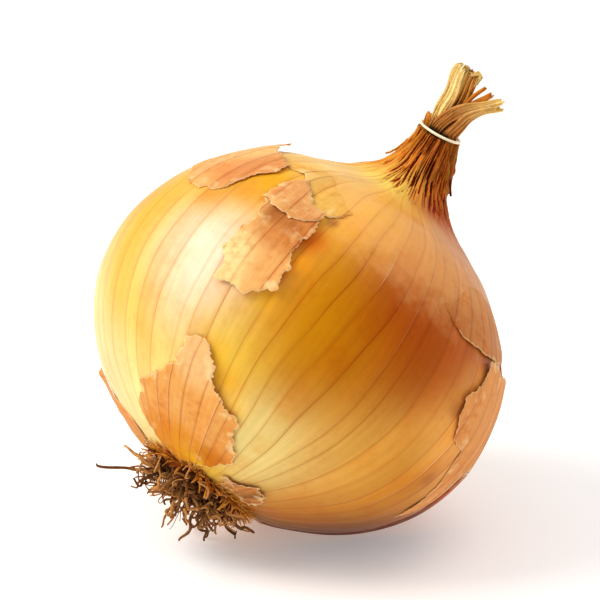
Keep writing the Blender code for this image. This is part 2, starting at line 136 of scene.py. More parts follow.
def lean(points):
    """Moves points of a straight onion to where the leaning neck has them."""
    towards = np.array([math.cos(NECK_LEAN_TOWARDS), math.sin(NECK_LEAN_TOWARDS)])
    aside = np.array([-towards[1], towards[0]])
    angle = np.interp(points[:, 2], LINE_HEIGHT, LINE_ANGLE)
    above = np.maximum(points[:, 2] - NECK_TOP, 0.0)
    along = points[:, :2] @ towards
    across = points[:, :2] @ aside
    out = np.interp(points[:, 2], LINE_HEIGHT, LINE_OUT) + along * np.cos(angle) + above * np.sin(angle)
    height = np.interp(points[:, 2], LINE_HEIGHT, LINE_UP) - along * np.sin(angle) + above * np.cos(angle)
    leaning = np.column_stack([np.outer(out, towards) + np.outer(across, aside), height])
    return np.where((points[:, 2] > LINE_HEIGHT[0])[:, None], leaning, points)


def lay(points):
    """Points along the onion's axes as places in the part's frame, with the neck leaning."""
    return CENTRE + lean(np.atleast_2d(points)) @ AXES


def round_axis(radius, angle, height):
    """Points along the onion's axes, from how far they are from its axis, on which side, and how high."""
    places = np.broadcast_arrays(radius * np.cos(angle), radius * np.sin(angle), height)
    return np.stack(places, axis=-1)


def straight_point(phi, s, lift):
    """Points at a height over the skin, along the axes of a straight onion."""
    dt = np.interp(s + 0.5, OUTLINE_S, OUTLINE_T) - np.interp(s - 0.5, OUTLINE_S, OUTLINE_T)
    dr = np.interp(s + 0.5, OUTLINE_S, OUTLINE_R) - np.interp(s - 0.5, OUTLINE_S, OUTLINE_R)
    size = np.hypot(dt, dr)
    radius = np.interp(s, OUTLINE_S, OUTLINE_R) + lift * dt / size
    height = np.interp(s, OUTLINE_S, OUTLINE_T) - lift * dr / size
    return round_axis(radius, np.radians(phi), height)


def streaks(phi, s, around, length, seed):
    """Smooth random values from 0 to 1 in long cells: so many round the onion, each so many mm long."""
    rng = np.random.default_rng(seed)
    values = rng.random((int((STREAKS_END + 10) / length) + 3, around))
    u = np.mod(np.asarray(phi) / 360.0, 1.0) * around
    v = np.clip(s, 0.0, STREAKS_END) / length
    i = np.floor(u).astype(int)
    j = np.floor(v).astype(int)
    u = (u - i) ** 2 * (3 - 2 * (u - i))
    v = (v - j) ** 2 * (3 - 2 * (v - j))
    low = values[j, i % around] * (1 - u) + values[j, (i + 1) % around] * u
    high = values[j + 1, i % around] * (1 - u) + values[j + 1, (i + 1) % around] * u
    return low * (1 - v) + high * v


def ramp(value, low, high):
    """0 below low, 1 above high, smooth between."""
    u = np.clip((np.asarray(value, float) - low) / (high - low), 0.0, 1.0)
    return u * u * (3 - 2 * u)


def linear(colour):
    """A colour given in the usual 0 to 255 values, as light."""
    c = np.array(colour, float) / 255
    return np.where(c <= 0.04045, c / 12.92, ((c + 0.055) / 1.055) ** 2.4)


# How much the base colour counts against a patch's at the patch's middle.
BASE_WEIGHT = 0.03


def blend_tints(points, base, patches):
    """Each point's colour: the base, and near a patch's place that patch's colour."""
    total = np.tile(linear(base) * BASE_WEIGHT, (len(points), 1))
    weights = np.full(len(points), BASE_WEIGHT)
    for phi, s, reach, colour in patches:
        middle = straight_point(np.array([phi]), np.array([s]), 0.0)
        near = np.exp(-np.sum((points - middle) ** 2, axis=1) / reach ** 2)
        total += near[:, None] * linear(colour)
        weights += near
    return total / weights[:, None]


# -------- meshes

def grid_faces(rows, columns):
    """Four-cornered faces of a grid whose rows are closed rings."""
    row, column = np.meshgrid(np.arange(rows - 1), np.arange(columns), indexing="ij")
    after = (column + 1) % columns
    a = row * columns + column
    b = row * columns + after
    return np.stack([a, b, b + columns, a + columns], axis=-1).reshape(-1, 4)


def closed_faces(rows, columns):
    """Faces of such a grid, with one more over each end."""
    last = (rows - 1) * columns
    faces = [list(face) for face in grid_faces(rows, columns)]
    return faces + [list(range(columns - 1, -1, -1)), list(range(last, last + columns))]


def add_object(name, data):
    thing = bpy.data.objects.new(name, data)
    bpy.context.scene.collection.objects.link(thing)
    return thing


def make_piece(name, points, faces, mat, nodes, tints, values=None):
    """A smooth mesh piece that rides on the onion, kept inside the part's box; points are places in mm."""
    points = np.clip(points, np.array(cad_box[0]) / MM, np.array(cad_box[1]) / MM)
    mesh = bpy.data.meshes.new(name)
    mesh.from_pydata((points * MM).tolist(), [], [list(face) for face in faces])
    mesh.update()
    layer = mesh.attributes.new("tint", "FLOAT_COLOR", "POINT")
    layer.data.foreach_set("color", np.column_stack([tints, np.ones(len(tints))]).ravel())
    for key, data in (values or {}).items():
        kind = "FLOAT" if data.ndim == 1 else "FLOAT_VECTOR"
        layer = mesh.attributes.new(key, kind, "POINT" if len(data) == len(points) else "CORNER")
        layer.data.foreach_set("value" if data.ndim == 1 else "vector", data.ravel())
    mesh.shade_smooth()
    mesh.materials.append(mat)
    piece = add_object(name, mesh)
    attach(piece, "root")
    if nodes:
        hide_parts(*nodes)
    return piece


class Bundle:
    """Many small meshes gathered into one piece."""

    def __init__(self):
        self.points = []
        self.faces = []
        self.tints = []
        self.count = 0

    def add(self, points, faces, tints):
        self.faces += [[corner + self.count for corner in face] for face in faces]
        self.points.append(points)
        self.tints.append(np.broadcast_to(tints, points.shape))
        self.count += len(points)

    def make(self, name, mat, nodes):
        make_piece(name, np.vstack(self.points), self.faces, mat, nodes, np.vstack(self.tints))


def tube(path, widths, depths, outward, sides):
    """An oval tube along a path, flat towards outward, with closed ends."""
    steps = np.gradient(path, axis=0)
    steps /= np.linalg.norm(steps, axis=1)[:, None]
    normal = np.array(outward, float)
    rings = []
    for point, along, width, depth in zip(path, steps, widths, depths):
        normal = normal - along * (normal @ along)
        normal /= np.linalg.norm(normal)
        aside = np.cross(along, normal)
        turn = 2 * math.pi * np.arange(sides) / sides
        rings.append(point + np.outer(np.cos(turn) * width, aside) + np.outer(np.sin(turn) * depth, normal))
    return np.vstack(rings), closed_faces(len(path), sides)


# -------- materials

# Noise drawn along the skin: how many cells it has to a turn round the onion, and to 100 mm along it.
WANDER = (7.0, 1.7, 0.0)
PATCHY = (30.0, 2.5, 0.0)
BROAD_FIBRES = (190.0, 3.0, 0.0)
FINE_FIBRES = (1100.0, 9.0, 0.0)
# Noise that is alike every way: how many cells it has to a metre.
CLOUDS = 150.0
PALE_MARK_CELLS = 330.0
GRAIN = 420.0
SPOTS = 700.0
RAGGED = 900.0
SPECKS = 1500.0
# Veins: how many strips they part the skin into, how many times closer the small ones are, and how far
# beside a vein its painted highlight is, in strips.
STRIPS = 52.0
SMALL_VEINS = 3.3
HIGHLIGHT_ASIDE = 0.055
WHITE = (1.0, 1.0, 1.0, 1.0)
# How much a material mirrors, and in which colour.
SKIN_SHINE = (0.11, (1.0, 0.7, 0.12, 1.0))
FIBRE_SHINE = (0.16, (1.0, 0.8, 0.5, 1.0))
WARM = (250, 226, 196)
BLOTCH = (226, 178, 136)
PAINTED_VEIN_HIGHLIGHT = (255, 236, 196)
TORN_EDGE = (255, 226, 165)
CRACK_SIDE = (204, 84, 30)
CRACK_DARK_AND_OPENING_SHADE = (52, 9, 3)
DUST_AND_SHEEN = (246, 186, 118)
DUST_AND_SHEEN_SHARE = 0.3


def add(tree, kind, inputs=None, **settings):
    """A node with its settings, and its inputs linked or set. A socket's id_data is the tree it is in."""
    node = tree.nodes.new("ShaderNode" + kind)
    for key, value in settings.items():
        setattr(node, key, value)
    for key, value in (inputs or {}).items():
        if isinstance(value, bpy.types.NodeSocket):
            tree.links.new(value, node.inputs[key])
        else:
            node.inputs[key].default_value = value
    return node


def set_inputs(node, values):
    """Sets a node's inputs by name."""
    for key, value in values.items():
        node.inputs[key].default_value = value


def maths(operation, a, b):
    return add(a.id_data, "Math", {0: a, 1: b}, operation=operation).outputs[0]


def times(a, b):
    return maths("MULTIPLY", a, b)


def plus(a, b):
    return maths("ADD", a, b)


def remap(value, from_low, from_high, to_low=0.0, to_high=1.0):
    """The value, moved from one range to another and held inside it."""
    node = add(value.id_data, "MapRange", {"Value": value, "From Min": from_low, "From Max": from_high,
                                           "To Min": to_low, "To Max": to_high})
    return node.outputs["Result"]


def mix(factor, a, b, blend="MIX"):
    return add(a.id_data, "Mix", {0: factor, 6: a, 7: b}, data_type="RGBA", blend_type=blend).outputs[2]


def tinted(colour, by):
    """A colour seen through another."""
    return mix(1.0, colour, by, "MULTIPLY")


def attribute(tree, name, output="Fac"):
    return add(tree, "Attribute", attribute_name=name).outputs[output]


def object_place(tree):
    return add(tree, "TexCoord").outputs["Object"]


def noise(place, scale, detail):
    inputs = {"Vector": place, "Scale": scale, "Detail": detail}
    return add(place.id_data, "TexNoise", inputs).outputs["Fac"]


def streaky_noise(place, cells):
    """Noise drawn along the skin."""
    stretched = add(place.id_data, "VectorMath", {0: place, 1: cells}, operation="MULTIPLY")
    return noise(stretched.outputs[0], 1.0, 2.0)


def grey(value):
    return add(value.id_data, "CombineColor", {0: value, 1: value, 2: value}).outputs[0]


def new_material(name, roughness, shine):
    mat = bpy.data.materials.new(name)
    mat.use_nodes = True
    shader = mat.node_tree.nodes["Principled BSDF"]
    set_inputs(shader, {"Roughness": roughness, "Specular IOR Level": shine[0], "Specular Tint": shine[1]})
    return mat, mat.node_tree, shader


def rgba(colour):
    """A colour given in the usual 0 to 255 values, as a node takes it."""
    return (*linear(colour), 1.0)


def vein_distance(across):
    """How far a place is from the nearest of the uneven lines that cross the way round the onion."""
    lines = add(across.id_data, "TexVoronoi", {"W": across, "Scale": 1.0}, voronoi_dimensions="1D",
                feature="DISTANCE_TO_EDGE")
    return lines.outputs["Distance"]


def skin_veins(across, patchy, along):
    """How dark the veins make the skin: 1 in the middle of a main one, less in a soft or small one."""
    edge = vein_distance(across)
    small_edge = vein_distance(times(across, SMALL_VEINS))
    uneven = remap(patchy, 0.35, 0.65, 0.35, 1.0)
    near_root = remap(along, 0.13, 0.24, 1.0, 0.35)
    main_vein = times(remap(edge, 0.01, 0.04, 1.0, 0.0), uneven)
    soft_vein = remap(edge, 0.0, 0.16, 0.28, 0.0)
    small_vein = times(remap(small_edge, 0.0, 0.07, 0.5, 0.0), times(uneven, near_root))
    return maths("MAXIMUM", maths("MAXIMUM", main_vein, soft_vein), small_vein)


def skin_material(name, roughness, vein, vein_colour, mottle, glow):
    """Onion skin: tinted strips between long thin veins, fine fibres, a little mottling and a painted
    highlight beside some veins.
    """
    mat, tree, shader = new_material(name, roughness, SKIN_SHINE)
    place = attribute(tree, "skin_place", "Vector")
    parts = add(tree, "SeparateXYZ", {0: place})
    wander = times(streaky_noise(place, WANDER), 2.0)
    across = plus(times(parts.outputs[0], STRIPS), wander)
    strip = add(tree, "TexVoronoi", {"W": across, "Scale": 1.0}, voronoi_dimensions="1D")
    random = add(tree, "SeparateColor", {0: strip.outputs["Color"]})
    patchy = streaky_noise(place, PATCHY)
    fibres = streaky_noise(place, FINE_FIBRES)
    broad = streaky_noise(place, BROAD_FIBRES)
    spots = noise(object_place(tree), SPOTS, 4.0)
    clouds = noise(object_place(tree), CLOUDS, 3.0)
    veins = skin_veins(across, patchy, parts.outputs[1])

    shade = remap(random.outputs[0], 0.0, 1.0, 0.93, 1.06)
    shade = times(shade, remap(fibres, 0.25, 0.75, 0.95, 1.05))
    shade = times(shade, remap(broad, 0.25, 0.75, 0.93, 1.06))
    colour = tinted(attribute(tree, "tint", "Color"), grey(shade))
    warmth = times(random.outputs[1], remap(clouds, 0.35, 0.65, 0.2, 1.0))
    colour = mix(warmth, colour, tinted(colour, rgba(WARM)))
    blotch = times(remap(spots, 0.42, 0.72), mottle)
    blotch = times(blotch, remap(clouds, 0.4, 0.62, 0.15, 1.0))
    colour = mix(blotch, colour, tinted(colour, rgba(BLOTCH)))
    colour = mix(times(veins, vein), colour, tinted(colour, rgba(vein_colour)))
    # A painted highlight on the raised edge beside some veins.
    highlight_edge = vein_distance(plus(across, HIGHLIGHT_ASIDE))
    highlight_here = times(remap(random.outputs[2], 0.55, 0.75), remap(patchy, 0.45, 0.6))
    painted_highlight = times(remap(highlight_edge, 0.0, 0.035, 0.3, 0.0), highlight_here)
    colour = mix(painted_highlight, colour, mix(1.0, colour, rgba(PAINTED_VEIN_HIGHLIGHT), "SCREEN"))

    height = times(veins, -0.5)
    for grain, share in ((fibres, 0.3), (broad, 0.7), (spots, 0.5 * mottle)):
        height = plus(height, times(grain, share))
    bump = add(tree, "Bump", {"Height": height, "Strength": 0.3, "Distance": 0.00025})
    rough = times(remap(broad, 0.3, 0.7, 0.88, 1.12), roughness)
    tree.links.new(rough, shader.inputs["Roughness"])
    tree.links.new(bump.outputs["Normal"], shader.inputs["Normal"])
    set_inputs(shader, {"Subsurface Weight": glow, "Subsurface Radius": (1.0, 0.45, 0.12),
                        "Subsurface Scale": 0.004})
    return mat, tree, shader, colour, clouds


def bulb_material():
    """The clinging skin: dust and painted matt sheen on the shoulder, dark red cracks at the neck, painted
    shade in the collar.
    """
    mat, tree, shader, colour, clouds = skin_material("bulb_skin", 0.36, 0.78, (208, 148, 76), 0.2, 0.18)
    grain = noise(object_place(tree), GRAIN, 4.0)
    uneven = plus(remap(clouds, 0.3, 0.7, -0.2, 0.2), remap(grain, 0.3, 0.7, -0.3, 0.3))
    # Dust and a painted matt sheen on the shoulder, as one paler colour with a mottled edge.
    dust_and_sheen = attribute(tree, "dust_and_sheen")
    dust_and_sheen_mask = plus(dust_and_sheen, times(uneven, remap(dust_and_sheen, 0.0, 0.35)))
    colour = mix(remap(dust_and_sheen_mask, 0.15, 0.85, 0.0, DUST_AND_SHEEN_SHARE), colour, rgba(DUST_AND_SHEEN))
    crack = attribute(tree, "crack")
    reddened = tinted(colour, rgba(CRACK_SIDE))
    colour = mix(remap(crack, 0.0, 0.5), colour, reddened)
    # Crack middles, and the collar's inside as painted shade, go nearly black.
    colour = mix(remap(crack, 0.3, 1.0), colour, rgba(CRACK_DARK_AND_OPENING_SHADE))
    tree.links.new(colour, shader.inputs["Base Color"])
    return mat


def paper_material(name, mottle):
    """A dry loose skin: matter and more mottled than the bulb, pale where it is torn, with painted
    highlights in pale marks near its edge.
    """
    mat, tree, shader, colour, clouds = skin_material(name, 0.6, 0.85, (186, 104, 50), mottle, 0.08)
    rim = attribute(tree, "rim")
    ragged = noise(object_place(tree), RAGGED, 3.0)
    reach = remap(ragged, 0.3, 0.7, 0.03, 0.42)
    edge = remap(maths("DIVIDE", rim, reach), 0.2, 1.0, 0.5, 0.0)
    # Pale mottled marks near the edge: painted highlights on the wrinkled paper.
    pale_mark_noise = noise(object_place(tree), PALE_MARK_CELLS, 4.0)
    pale_marks = times(remap(pale_mark_noise, 0.54, 0.66, 0.0, 0.5), remap(rim, 0.3, 4.0, 1.0, 0.1))
    colour = mix(maths("MAXIMUM", edge, pale_marks), colour, rgba(TORN_EDGE))
    tree.links.new(colour, shader.inputs["Base Color"])
    return mat


def fibre_material(name, roughness, cells, darkest):
    """Dried leaf or root: its tint with fine darker clouds and specks."""
    mat, tree, shader = new_material(name, roughness, FIBRE_SHINE)
    specks = noise(object_place(tree), SPECKS, 4.0)
    clouds = noise(object_place(tree), cells, 3.0)
    shade = times(remap(specks, 0.3, 0.7, darkest, 1.08), remap(clouds, 0.3, 0.7, darkest, 1.1))
    colour = tinted(attribute(tree, "tint", "Color"), grey(shade))
    bump = add(tree, "Bump", {"Height": plus(specks, clouds), "Strength": 0.5, "Distance": 0.0002})
    rough = remap(clouds, 0.3, 0.7, roughness - 0.1, roughness + 0.1)
    tree.links.new(colour, shader.inputs["Base Color"])
    tree.links.new(bump.outputs["Normal"], shader.inputs["Normal"])
    tree.links.new(rough, shader.inputs["Roughness"])
    return mat


# -------- bulb

BULB_COLUMNS = 360
SEAM_PHI = -160.0
WRINKLES_FROM = 98.0
SMOOTH_ROW = 0.8
WRINKLED_ROW = 0.27
CRACK_DEPTH = 0.5
SKIN_BASE = (222, 152, 74)
# Painted highlight on the tops of the neck's ridges.
RIDGE_HIGHLIGHT_COLOUR = (232, 134, 46)
# Where the skin is paler, yellower or browner, with a painted highlight, painted shade and painted shadows
# among them: phi, s, reach in mm, colour.
BULB_TINTS_AND_PAINTED_LIGHT = [
    (-40, 50, 12, (253, 225, 150)), (-35, 80, 12, (250, 208, 130)), (-20, 62, 14, (248, 181, 38)),
    # (12, 56) is a painted highlight.
    (-5, 45, 11, (251, 191, 64)), (12, 56, 11, (254, 234, 215)), (-20, 30, 10, (250, 216, 154)),
    # (12, 80) is a painted shadow beside the top flake, spread wide.
    (5, 24, 10, (253, 230, 140)), (12, 80, 12, (224, 168, 10)), (8, 100, 12, (251, 208, 122)),
    (32, 46, 8, (232, 194, 66)), (40, 95, 12, (254, 188, 74)), (42, 58, 9, (206, 138, 0)),
    # (72, 66), and (88, 70) below, are painted shade: a dark band between the lit shoulder and the lit lower
    # side.
    (58, 54, 11, (192, 120, 2)), (60, 30, 10, (232, 214, 138)), (72, 66, 11, (164, 62, 0)),
    (88, 70, 9, (168, 72, 2)), (85, 40, 13, (222, 165, 74)), (72, 90, 12, (216, 136, 70)),
    (103, 62, 9, (246, 184, 94)), (102, 24, 9, (195, 120, 6)), (104, 44, 10, (190, 120, 10)),
    # (128, 28) is painted shade on the underside, over the floor.
    (128, 28, 12, (72, 5, 0)), (122, 60, 10, (234, 174, 112)), (100, 96, 10, (212, 152, 100)),
    (150, 50, 16, (176, 96, 34)), (150, 85, 16, (206, 138, 70)), (185, 45, 18, (214, 150, 66)),
    (215, 75, 18, (226, 160, 78)), (250, 50, 18, (236, 186, 92)), (285, 75, 18, (246, 200, 104)),
    (300, 35, 16, (251, 222, 140)), (240, 20, 12, (222, 160, 70)), (30, 113, 6, (254, 240, 110)),
    (75, 113, 6, (190, 74, 2)), (104, 113, 5, (172, 68, 4)), (118, 121, 5, (94, 20, 1)),
    (108, 104, 5, (196, 118, 54)), (60, 123, 6, (118, 24, 2)), (-20, 119, 6, (240, 160, 36)),
    # From (2, 69) to (36.6, 77.0): painted shadows beside the top flake, the root fan, the front flake and
    # the shoulder skin.
    (170, 114, 9, (196, 118, 44)), (260, 116, 9, (214, 134, 54)), (2, 69, 2.8, (222, 150, 0)),
    (9, 73, 2.8, (214, 132, 0)), (12.5, 79, 2.8, (224, 150, 1)), (30, 42.5, 2.8, (254, 188, 0)),
    (36.5, 38.5, 2.8, (236, 168, 0)), (43.5, 33.8, 2.4, (252, 194, 56)), (35.5, 65, 2.4, (254, 166, 18)),
    (34.8, 70.5, 2.4, (222, 102, 2)), (34.5, 56.5, 2.6, (254, 197, 0)), (36.6, 77.0, 0.8, (140, 40, 8)),
    # (97, 63), (109, 50), (93, 74.6) and (103, 75.6) are painted shadows along the right skins' edges.
    (27, 88, 6, (248, 196, 120)), (10, 95, 6, (252, 222, 140)), (97, 63, 1.8, (140, 40, 4)),
    (109, 50, 1.6, (150, 52, 6)), (93, 74.6, 1.6, (160, 64, 12)), (103, 75.6, 1.8, (140, 36, 4)),
    (45, 17, 4, (228, 176, 18)), (20, 14, 3, (212, 124, 8)),
]


def beside(phi, middle, width):
    """1 at one angle round the onion, falling to 0 about twice the width away from it."""
    off = np.mod(phi - middle + 180.0, 360.0) - 180.0
    return np.exp(-(off / width) ** 2)


def crack_lines(phi, s, around, seed):
    """Long wedge-shaped cracks along the neck, about so many round it; 1 in the middle of one."""
    sway = (streaks(phi, s, 30, 6, seed) - 0.5) * 1.6
    across = phi / 360.0 * around + sway
    off_line = 2 * np.abs(across - np.round(across))
    width = 0.62 * ramp(streaks(phi, s, around, 4.5, seed + 1), 0.36, 0.85)
    return ramp(width - off_line, 0.0, 0.16)


def skin_height(phi, s):
    """How far the skin stands over its smooth outline, how deep in a crack it is, and the neck's ridges."""
    gentle = (streaks(phi, s, 9, 40, 21) - 0.5) * 0.4 + (streaks(phi, s, 26, 45, 22) - 0.5) * 0.2
    strips = (streaks(phi, s, 75, 60, 23) - 0.5) * 0.14
    neck = ramp(s, WRINKLES_FROM, 119.0)
    bent = phi + 2.5 * np.sin(s / 2.3 + np.radians(phi) * 5)
    ridge = 1 - np.abs(2 * streaks(bent, s, 52, 7, 24) - 1)
    fine_ridge = 1 - np.abs(2 * streaks(bent, s, 120, 4, 25) - 1)
    wrinkles = neck * ((ridge - 0.55) * 0.5 + (fine_ridge - 0.5) * 0.26)
    wide_cracks = crack_lines(phi, s, 50, 26) * ramp(s, 107.0, 117.0)
    fine_cracks = crack_lines(phi, s, 104, 28) * ramp(s, 107.0, 116.0) * 0.85
    crack = np.maximum(wide_cracks, fine_cracks) * (0.62 + 0.38 * beside(phi, 100, 80))
    full_side = 0.55 * beside(phi, -41, 36) * ramp(s, 14, 30) * (1 - ramp(s, 44, 66))
    slim_left = 0.75 * beside(phi, -41, 50) * ramp(s, 111, 119) * (1 - 0.6 * ramp(s, 125.5, 127.5))
    slim_right = 0.25 * beside(phi, 139, 40) * ramp(s, 104, 110) * (1 - ramp(s, 117, 124))
    slim_top = 0.2 * beside(phi, -41, 45) * ramp(s, 60, 70) * (1 - ramp(s, 88, 98))
    lumps = 0.75 * beside(phi, 139, 15) * ramp(s, 116.5, 118.5) * (1 - ramp(s, 123, 125.5))
    lumps *= 0.65 + 0.35 * np.cos((s - 118.8) * 1.9)
    dent = 0.45 * beside(phi, 141, 10) * ramp(s, 76, 80) * (1 - ramp(s, 84, 88))
    shape = full_side + lumps - slim_left - slim_right - slim_top - dent
    return gentle + strips + wrinkles + shape - CRACK_DEPTH * crack - 0.08, crack, neck * ridge


def dust_and_sheen_at(phi, s):
    """How much dust and painted matt sheen the skin has: 1 in the middle of the matt shoulder."""
    return beside(phi, 62, 32) * ramp(s, 66, 86) * (1 - ramp(s, 92, 102))


def bulb_rows():
    """The bulb's rows, from the root end over the skin to the collar's floor: each one's height and radius,
    its s, and what share of the skin's unevenness it has."""
    s = np.concatenate([np.arange(OUTLINE_S[0], WRINKLES_FROM, SMOOTH_ROW),
                        np.arange(WRINKLES_FROM, TOTAL_S, WRINKLED_ROW), [TOTAL_S]])
    floor = NECK_TOP - COLLAR_DEPTH
    collar = np.array([(NECK_TOP, 4.2), (NECK_TOP - 0.2, COLLAR_RADIUS), (floor + 1.6, COLLAR_RADIUS - 0.15),
                       (floor + GAP, COLLAR_RADIUS - GAP), (floor, 2.4), (floor, 0.05)])
    root_end = np.array([(OUTLINE_T[0] + 0.2, radius) for radius in (0.05, 3.0, 6.0, 9.0)])
    outline = np.column_stack([np.interp(s, OUTLINE_S, OUTLINE_T), np.interp(s, OUTLINE_S, OUTLINE_R)])
    rows = np.vstack([root_end, outline, collar])
    rows_s = np.concatenate([root_end[:, 1], s, TOTAL_S + np.arange(1, len(collar) + 1)])
    share = np.concatenate([np.zeros(len(root_end)), ramp(s, OUTLINE_S[0], 14.0), [0.6, 0.2], np.zeros(4)])
    return rows[:, 0], rows[:, 1], rows_s, share


def skin_places(faces, columns, rows_s):
    """Each face corner's place on the skin, in turns and in 100 mm, going on past one turn at the seam."""
    column_of = faces % BULB_COLUMNS
    around = columns[column_of]
    past_seam = (around < SEAM_PHI + 10.0) & (column_of[:, [0]] > BULB_COLUMNS // 2)
    around = np.where(past_seam, around + 360.0, around)
    along = rows_s[faces // BULB_COLUMNS]
    return np.stack([around / 360.0, along / 100.0, np.zeros_like(along)], axis=-1).reshape(-1, 3)


def make_bulb():
    """The bulb with its clinging skin, wrinkled neck and open collar, in one piece."""
    rows_t, rows_r, rows_s, share = bulb_rows()
    columns = np.arange(BULB_COLUMNS) * 360.0 / BULB_COLUMNS + SEAM_PHI
    grid_phi, grid_s = np.meshgrid(columns, rows_s)
    phi = grid_phi.ravel()
    s = grid_s.ravel()
    height, crack, ridge = skin_height(phi, s)
    height = height.reshape(grid_phi.shape) * share[:, None]
    dt = np.gradient(rows_t)
    dr = np.gradient(rows_r)
    size = np.maximum(np.hypot(dt, dr), 1e-6)
    radius = rows_r[:, None] + height * (dt / size)[:, None]
    level = rows_t[:, None] - height * (dr / size)[:, None]
    points = round_axis(radius, np.radians(grid_phi), level).reshape(-1, 3)
    # The bulb's colours, with their painted highlight, shade and shadows.
    tints = blend_tints(points, SKIN_BASE, BULB_TINTS_AND_PAINTED_LIGHT)
    # Painted highlight on the neck's ridges, weaker on the shaded right side.
    painted_ridge_highlight = ramp(ridge, 0.45, 0.9) * ramp(s, 104.0, 114.0)
    painted_ridge_highlight *= 0.55 - 0.3 * beside(phi, 118, 42)
    tints += (linear(RIDGE_HIGHLIGHT_COLOUR) - tints) * painted_ridge_highlight[:, None]
    # The collar's inner wall and floor count as full cracks: painted shade in the opening.
    crack = np.maximum(crack, ramp(s, TOTAL_S + 1.5, TOTAL_S + 3.5))
    laid = lay(points)
    laid[:, 2] = np.maximum(laid[:, 2], FLOOR_LEVEL)
    faces = grid_faces(len(rows_t), BULB_COLUMNS)
    values = {"skin_place": skin_places(faces, columns, rows_s), "crack": crack, "dust_and_sheen": dust_and_sheen_at(phi, s)}
    make_piece("bulb_skin", laid, faces, bulb_material(), ["bulb"], tints, values)


# -------- loose skins

EDGE_STEP = 0.36
SKIN_STEP = 0.62
CURL_REACH = 1.6
PAPER_THICKNESS = 0.1
SHRED_THICKNESS = 0.4
PAPER_SINK = 0.16
PAPER_SHIFT = 0.37
PAPER = (238, 178, 106)
PALE_PAPER = (252, 222, 150)
BROWN_PAPER = (206, 128, 66)

